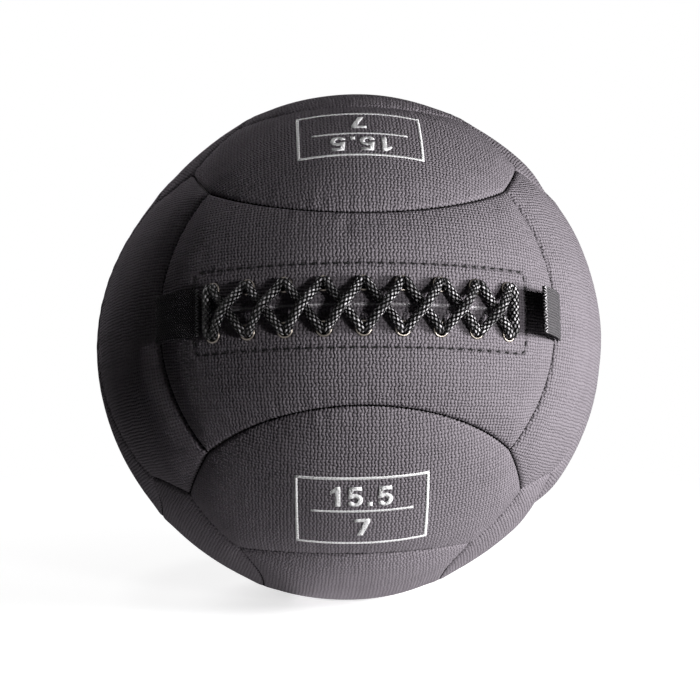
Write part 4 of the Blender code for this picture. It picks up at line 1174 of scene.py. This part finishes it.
class WALLBALL_OT_camera(bpy.types.Operator):
    """Makes the camera at the photograph's viewing angle"""
    bl_idname = "wallball.camera"
    bl_label = "Camera"

    def execute(self, context):
        settings = context.scene.wall_ball_stage
        data = bpy.data.cameras.new("camera")
        data.lens = settings.lens
        data.sensor_width = 36
        data.shift_x, data.shift_y = CAMERA_SHIFT
        data.clip_end = 100
        camera = new_object("camera", data)
        stand_round_ball(camera, *np.degrees((settings.azimuth, settings.elevation)), settings.distance)
        context.scene.camera = camera
        return {"FINISHED"}


class WALLBALL_OT_cover(bpy.types.Operator):
    """Sews and stuffs the eighteen panels of the cover"""
    bl_idname = "wallball.cover"
    bl_label = "Cover panels"

    def execute(self, context):
        settings = context.scene.wall_ball_cover
        panels = cover_panels()
        fields = swollen(panels)
        material = woven_polyester_cover(settings)
        for name, (middle, sides) in panels.items():
            make_panel(name, middle, sides, fields[name], settings.cell, material)
        return {"FINISHED"}


class WALLBALL_OT_stitching(bpy.types.Operator):
    """Sews the rectangle of long stitches round the lacing"""
    bl_idname = "wallball.stitching"
    bl_label = "Stitched rectangle"

    def execute(self, context):
        settings = context.scene.wall_ball_lacing
        marks, line, length = stitch_path()
        count = round(length / STITCH_PITCH)
        places = []
        for index in range(count):
            mark = index * length / count
            spots = [Vector(leant(arc_point(*places_along(line, marks, (mark + end) % length), -STITCH_SINK)))
                     for end in (-STITCH_LENGTH / 2, STITCH_LENGTH / 2)]
            middle = (spots[0] + spots[1]) / 2
            out = (middle - Vector(LEAN_MOVE)).normalized()
            along = (spots[1] - spots[0]).normalized()
            out = (out - along * out.dot(along)).normalized()
            places.append((middle, along, out))
        mesh = stitch_mesh(places, "lacing_stitches", settings.stitch_width, STITCH_LENGTH)
        piece("lacing_stitches", mesh, bonded_thread(), "ball")
        return {"FINISHED"}


class WALLBALL_OT_eyelets(bpy.types.Operator):
    """Presses the two rows of eyelets into the laced panel"""
    bl_idname = "wallball.eyelets"
    bl_label = "Eyelets"

    def execute(self, context):
        material = nickel_plated_brass()
        sides = context.scene.wall_ball_lacing.eyelet_sides
        outer = EYELET_OUTER_RADIUS + EYELET_FLANGE
        ring_middle, ring_half = (EYELET_BORE_RADIUS + outer) / 2, (outer - EYELET_BORE_RADIUS) / 2
        profile = [(EYELET_OUTER_RADIUS, TOUCH_GAP), (EYELET_OUTER_RADIUS, FACING_BOTTOM),
                   (EYELET_BORE_RADIUS, FACING_BOTTOM)]
        profile += [(ring_middle - ring_half * math.cos(turn),
                     TOUCH_GAP + EYELET_FLANGE_THICKNESS * math.sin(turn))
                    for turn in np.linspace(0, math.pi, 9)]
        for row_name, z_arc in (("upper", UPPER_EYELET_ROW), ("lower", LOWER_EYELET_ROW)):
            for number, x_arc in enumerate(eyelet_columns(), 1):
                bm = bmesh.new()
                ring = [bm.verts.new((radius, 0, height)) for radius, height in profile]
                edges = [bm.edges.new(pair) for pair in zip(ring, ring[1:] + ring[:1])]
                bmesh.ops.spin(bm, geom=ring + edges, cent=(0, 0, 0), axis=(0, 0, 1), dvec=(0, 0, 0),
                               angle=2 * math.pi, steps=sides, use_merge=True)
                bmesh.ops.recalc_face_normals(bm, faces=bm.faces)
                out = Vector(across(x_arc, z_arc))
                sideways = Vector((0, 0, 1)).cross(out).normalized()
                turned = Matrix((sideways, out.cross(sideways), out)).transposed().to_4x4()
                spot = Matrix.Translation(Vector(arc_point(x_arc, z_arc, 0.0)))
                bmesh.ops.transform(bm, verts=bm.verts, matrix=LEAN @ spot @ turned)
                name = f"{row_name}_eyelet_{number}"
                piece(f"{name}_ring", mesh_from(bm, name), material, "ball", (name,))
        return {"FINISHED"}


class WALLBALL_OT_lacing(bpy.types.Operator):
    """Threads the braided lace through the eyelets"""
    bl_idname = "wallball.lacing"
    bl_label = "Lace"

    def execute(self, context):
        route = np.array(lace_route(), float)
        points = arc_point(route[:, 0], route[:, 1], route[:, 2])
        steps = context.scene.wall_ball_lacing.lace_steps
        rows = rounded(np.concatenate([points, route[:, 3:]], axis=1), steps)
        mesh = tube_mesh("lace_braid", leant(rows[:, :3]), rows[:, 3] * LACE_RADIUS * LACE_FULLNESS)
        piece("lace_braid", mesh, braided_cord(), "ball", ("lace",))
        return {"FINISHED"}


def tab_middle_height(x_arc):
    """Height of the middle between a tab's two layers when it lies flat."""
    reach = math.radians(LACED_END[0]) * BALL_RADIUS - abs(x_arc)
    return TAB_CLEARANCE + TAB_STACK_HALF - float(crown_drop(reach))


def tab_path():
    """Over a flat tab's outer layer, round its fold and back below: distance across and height."""
    layer = (WEBBING_THICKNESS + TAB_LAYER_GAP) / 2
    stations = [TAB_ROOT - TAB_LENGTH * share for share in (*np.linspace(0, 0.9, 13), 0.94, 0.965, 0.985, 1)]
    fold = stations[-1]
    return [*((x, tab_middle_height(x) + layer) for x in stations),
            *((fold - layer * math.sin(turn), tab_middle_height(fold) + layer * math.cos(turn))
              for turn in np.linspace(0, math.pi, 9)[1:-1]),
            *((x, tab_middle_height(x) - layer) for x in reversed(stations))]


# The highlight painted along a tab's fold: how far before the middle of its length, and how wide
FOLD_HIGHLIGHT = -0.0006
FOLD_HIGHLIGHT_WIDTH = 0.0009


class WALLBALL_OT_pull_tabs(bpy.types.Operator):
    """Folds and sews on the two pull tabs of webbing"""
    bl_idname = "wallball.pull_tabs"
    bl_label = "Pull tabs"

    def execute(self, context):
        material = herringbone_webbing()
        for side_name, side in SIDES.items():
            axis = at(across(side * TAB_ROOT, 0.0), tab_middle_height(TAB_ROOT))
            line = np.array([arc_point(side * x, 0.0, height) - axis for x, height in tab_path()])
            heights = np.linspace(-TAB_WIDTH / 2, TAB_WIDTH / 2, 15)
            way, up = np.meshgrid(lengths_along(line), heights, indexing="ij")
            points = np.repeat(line[:, None], len(heights), 1)
            points[:, :, 2] = heights
            turn = np.array(Matrix.Rotation(side * math.radians(TAB_LIFT_DEG[side_name]), 3, "Z"))
            points = leant(axis + points.reshape(-1, 3) @ turn.T).reshape(points.shape)
            name = f"{side_name}_pull_tab"
            mesh, index = grid_mesh(name, points)
            way, up = way.ravel()[index], up.ravel()[index]
            set_flat_map(mesh, np.stack([way, up], -1))
            # The fold value: painted sheen over the outer layer, and a painted highlight along the fold
            before_fold = way - way.max() / 2
            set_values(mesh, "fold", np.maximum(PAINTED_SHEEN_SHARE[side_name] * (before_fold < 0),
                                                bump_at(before_fold, FOLD_HIGHLIGHT, FOLD_HIGHLIGHT_WIDTH)))
            made = piece(f"{name}_webbing", mesh, material, f"{side_name}_tab", (name,))
            thicken(made, "thickness", WEBBING_THICKNESS, 0)
            soft = made.modifiers.new("soft_edges", "BEVEL")
            soft.width = 0.0004
            soft.segments = 2
            soft.limit_method = "ANGLE"
        return {"FINISHED"}


# Prints, with places in the flat map of a panel about its middle

PRINT_STEP = 0.003
PRINT_LIFT = 0.00022
PRINT_INK = 0.00015
PRINT_LINE = 0.0019
PRINT_RULE = 0.0018
PRINT_RULE_INSET = 0.009
PRINT_NUMBERS = (("15.5", 0.0132, 0.0148), ("7", -0.0116, 0.0145))

# Each frame's panel, middle, size and turn
PRINT_FRAMES = (("front_bottom_panel", (0.0005, -0.0152), (0.083, 0.0535), 1.4),
                ("front_top_panel", (0.0018, 0.0106), (0.080, 0.0495), 180.0))
DIGIT_WIDTH = 0.68
DIGIT_STROKE = 0.215
DIGIT_GAP = 0.19
BOWL = 0.33


def print_strip(bm, start, end, width):
    """A painted strip between two flat places, in short steps."""
    length = math.dist(start, end)
    steps = max(1, round(length / PRINT_STEP))
    made = bmesh.ops.create_grid(bm, x_segments=steps, y_segments=1, size=0.5)["verts"]
    angle = math.atan2(end[1] - start[1], end[0] - start[0])
    bmesh.ops.transform(bm, verts=made, matrix=Matrix.Translation(
        ((start[0] + end[0]) / 2, (start[1] + end[1]) / 2, 0)) @ Matrix.Rotation(angle, 4, "Z")
        @ Matrix.Diagonal((length, width, 1, 1)))


def arc_places(half_width, half_height, start_deg, end_deg):
    """Places on the bowl of a five, as shares of the digit's height."""
    return [(half_width * math.cos(turn), BOWL + half_height * math.sin(turn))
            for turn in np.radians(np.linspace(start_deg, end_deg, 20))]


def digit_outline(digit):
    """The outline and width of a wide bold digit one high, about its own upright middle."""
    wide, bold = DIGIT_WIDTH / 2, DIGIT_STROKE
    thin = 0.85 * bold
    if digit == "1":
        left = -0.35 * bold
        return [(left, 0), (left + bold, 0), (left + bold, 1), (left + 0.2 * bold, 1),
                (left - bold, 1 - bold), (left - bold, 1 - 1.8 * bold), (left, 1 - 1.2 * bold)], 2.1 * bold
    if digit == "7":
        foot = -0.7 * wide
        return [(-wide, 1), (wide, 1), (wide, 1 - thin), (foot + 1.2 * bold, 0), (foot, 0),
                (wide - 1.2 * bold, 1 - thin), (-wide, 1 - thin)], DIGIT_WIDTH
    if digit == "5":
        left = -0.72 * wide
        return [(left, 1), (0.86 * wide, 1), (0.86 * wide, 1 - thin), (left + 0.9 * bold, 1 - thin),
                *arc_places(wide, BOWL, 112, -160), *arc_places(wide - bold, BOWL - thin, -155, 140),
                (left - 0.25 * bold, 0.40)], DIGIT_WIDTH
    dot = bold / 2
    return [(-dot, 0), (dot, 0), (dot, bold), (-dot, bold)], bold


def print_number(bm, text, middle, height):
    """A painted number of a given height about a flat place."""
    glyphs = [digit_outline(letter) for letter in text]
    way = -(sum(width for outline, width in glyphs) + DIGIT_GAP * (len(glyphs) - 1)) / 2
    for outline, width in glyphs:
        centre = way + width / 2
        bm.faces.new([bm.verts.new((middle[0] + (x + centre) * height, middle[1] + (y - 0.5) * height, 0))
                      for x, y in outline])
        way += width + DIGIT_GAP


def print_mesh(size):
    """The bmesh of a frame with a rule and two numbers, flat about its middle, in short steps."""
    bm = bmesh.new()
    half_x, half_y = size[0] / 2, size[1] / 2
    overlap = PRINT_LINE / 2
    for y in (-half_y, half_y):
        print_strip(bm, (-half_x - overlap, y), (half_x + overlap, y), PRINT_LINE)
    for x in (-half_x, half_x):
        print_strip(bm, (x, -half_y + overlap), (x, half_y - overlap), PRINT_LINE)
    rule_end = half_x - PRINT_RULE_INSET
    print_strip(bm, (-rule_end, PRINT_RULE), (rule_end, PRINT_RULE), PRINT_LINE * 0.8)
    for digits, middle, height in PRINT_NUMBERS:
        print_number(bm, digits, (0.0, middle), height)
    bm.normal_update()
    bmesh.ops.triangulate(bm, faces=bm.faces, ngon_method="EAR_CLIP")
    for repeat in range(4):
        long_edges = [edge for edge in bm.edges if edge.calc_length() > PRINT_STEP * 1.4]
        if long_edges:
            bmesh.ops.subdivide_edges(bm, edges=long_edges, cuts=1)
            bmesh.ops.triangulate(bm, faces=bm.faces)
    return bm


class WALLBALL_OT_prints(bpy.types.Operator):
    """Prints a plain frame with two plain numbers on the ovals above and below the lacing"""
    bl_idname = "wallball.prints"
    bl_label = "Prints"

    def execute(self, context):
        material = white_print()
        panels = cover_panels()
        for panel, centre, size, turn_deg in PRINT_FRAMES:
            bm = print_mesh(size)
            bmesh.ops.transform(bm, verts=bm.verts, matrix=Matrix.Translation((*centre, 0))
                                @ Matrix.Rotation(math.radians(turn_deg), 4, "Z"))
            middle = unit(panels[panel][0])
            sideways = unit(np.cross((0, 0, 1.0), middle))
            upward = np.cross(middle, sideways)
            cover = bpy.data.objects[f"{panel}_cover"].data
            cloth = BVHTree.FromPolygons([vert.co[:] for vert in cover.vertices],
                                         [face.vertices[:] for face in cover.polygons])
            flat = np.array([vert.co[:2] for vert in bm.verts])
            away = np.linalg.norm(flat, axis=1)
            spread = flat / np.maximum(away, 1e-9)[:, None]
            turn = (away / BALL_RADIUS)[:, None]
            directions = np.cos(turn) * middle + np.sin(turn) * (spread[:, :1] * sideways
                                                                  + spread[:, 1:] * upward)
            for vert, way in zip(bm.verts, directions @ LEAN_TURN.T):
                found = cloth.ray_cast(Vector(LEAN_MOVE), Vector(way))[0]
                vert.co = found + Vector(way) * PRINT_LIFT
            mesh = mesh_from(bm, f"{panel}_print")
            set_flat_map(mesh, flat)
            face_outwards(mesh, LEAN_MOVE)
            made = piece(f"{panel}_print", mesh, material, "ball")
            thicken(made, "ink", PRINT_INK, -1)
        return {"FINISHED"}


class WALLBALL_OT_inside(bpy.types.Operator):
    """Gives the hidden pieces their finishes"""
    bl_idname = "wallball.inside"
    bl_label = "Inner pieces"

    def execute(self, context):
        for nodes, finish in INNER_FINISHES.items():
            material = hidden_finish(*finish)
            for name in nodes:
                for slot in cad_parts[name].material_slots:
                    slot.material = material
        return {"FINISHED"}


def soft_light(name, wide, tall, power):
    """A soft rectangular light that the camera doesn't see."""
    lamp = bpy.data.lights.new(name, "AREA")
    lamp.shape = "RECTANGLE"
    lamp.size, lamp.size_y = wide, tall
    lamp.energy = power
    made = new_object(name, lamp)
    made.visible_camera = False
    return made


def looking(add):
    """One for the rays that see a thing, straight, mirrored or through; nought for those that light it."""
    ray = add("LightPath").outputs
    seen = add("Math MAXIMUM", ray["Is Camera Ray"], ray["Is Glossy Ray"])
    return add("Math MAXIMUM", seen, ray["Is Transmission Ray"])


WHITE = (1, 1, 1, 1)


def pale_paper_floor():
    """Matt paper under a shadowless glow: it shows a soft shadow near the ball and is white further off."""
    made, add = new_material("pale_paper_floor")
    far = add("MapRange SMOOTHSTEP", add("VectorMath LENGTH", add("TexCoord").outputs["Object"]), 0.16, 0.62)
    near = add("AddShader", add("BsdfDiffuse", linear("#e4e4e4")), add("Emission", WHITE, 0.68))
    seen = add("MixShader", far, near, add("Emission", WHITE, 1.0))
    dull = add("BsdfDiffuse", linear("#484848"))
    add("OutputMaterial", Surface=add("MixShader", looking(add), dull, seen))
    return made


class WALLBALL_OT_stage(bpy.types.Operator):
    """Sets the pale floor, the white surroundings and the soft lights"""
    bl_idname = "wallball.stage"
    bl_label = "Stage"

    def execute(self, context):
        settings = context.scene.wall_ball_stage
        bm = bmesh.new()
        bmesh.ops.create_circle(bm, cap_ends=True, segments=96, radius=0.9)
        floor = new_object("floor", mesh_from(bm, "floor", smooth=False), pale_paper_floor())
        world = bpy.data.worlds.new("surroundings")
        context.scene.world = world
        world.use_nodes = True
        world.node_tree.nodes.clear()
        add = partial(node, world.node_tree)
        dim, bright = add("Background", WHITE, 0.003), add("Background", WHITE, 1.0)
        add("OutputWorld", Surface=add("MixShader", looking(add), dim, bright))
        for name, azimuth, elevation, distance, size, power in (
                ("key_light", 61, 4, 0.72, 0.18, settings.key_power),
                ("side_light", 37, 5, 2.0, 0.3, settings.side_power),
                ("gleam_light", 26, 6, 1.5, 0.25, settings.gleam_power),
                ("rim_light", -95, 76, 1.6, 0.3, settings.rim_power),
                ("back_light", -150, 28, 1.7, 0.8, settings.back_power),
                ("fill_light", 0, 35, 2.4, 1.2, settings.fill_power)):
            light = soft_light(name, size, size, power)
            light.visible_diffuse = name != "gleam_light"
            stand_round_ball(light, azimuth, elevation, distance)
        for name, wide, tall, power, x, y in (
                ("bounce_light", 0.36, 0.26, settings.bounce_power, 0.14, -0.05),
                ("left_bounce_light", 0.24, 0.24, settings.bounce_power / 6, -0.17, -0.06)):
            reflector = soft_light(name, wide, tall, power)
            reflector.location = (x, y, 2 * FLOOR_CLEARANCE)
            reflector.rotation_euler = (math.pi, 0, 0)
        context.scene.view_settings.view_transform = "Standard"
        return {"FINISHED"}


class WALLBALL_PT_sidebar(bpy.types.Panel):
    """Lists the ball's settings and the steps that make it"""
    bl_idname = "WALLBALL_PT_sidebar"
    bl_label = "Wall Ball"
    bl_space_type = "VIEW_3D"
    bl_region_type = "UI"
    bl_category = "Wall Ball"

    def draw(self, context):
        layout = self.layout
        for group in (context.scene.wall_ball_cover, context.scene.wall_ball_lacing,
                      context.scene.wall_ball_stage):
            box = layout.box()
            for name in group.__class__.__annotations__:
                box.prop(group, name)
        for operator in OPERATORS:
            layout.operator(operator.bl_idname)


GROUPS = {"wall_ball_cover": WallBallCoverSettings, "wall_ball_lacing": WallBallLacingSettings,
          "wall_ball_stage": WallBallStageSettings}
OPERATORS = (WALLBALL_OT_camera, WALLBALL_OT_cover, WALLBALL_OT_stitching, WALLBALL_OT_eyelets,
             WALLBALL_OT_lacing, WALLBALL_OT_pull_tabs, WALLBALL_OT_prints, WALLBALL_OT_inside,
             WALLBALL_OT_stage)


def register():
    """Registers the settings, the operators and the panel."""
    for made in (*GROUPS.values(), *OPERATORS, WALLBALL_PT_sidebar):
        bpy.utils.register_class(made)
    for name, group in GROUPS.items():
        setattr(bpy.types.Scene, name, bpy.props.PointerProperty(type=group))


def unregister():
    """Takes the settings, the operators and the panel away again."""
    for name in GROUPS:
        delattr(bpy.types.Scene, name)
    for made in reversed((*GROUPS.values(), *OPERATORS, WALLBALL_PT_sidebar)):
        bpy.utils.unregister_class(made)


def main():
    """Builds the whole scene."""
    register()
    bpy.ops.wallball.camera()
    bpy.ops.wallball.cover()
    bpy.ops.wallball.stitching()
    bpy.ops.wallball.eyelets()
    bpy.ops.wallball.lacing()
    bpy.ops.wallball.pull_tabs()
    bpy.ops.wallball.prints()
    bpy.ops.wallball.inside()
    bpy.ops.wallball.stage()


if __name__ == "__main__":
    main()
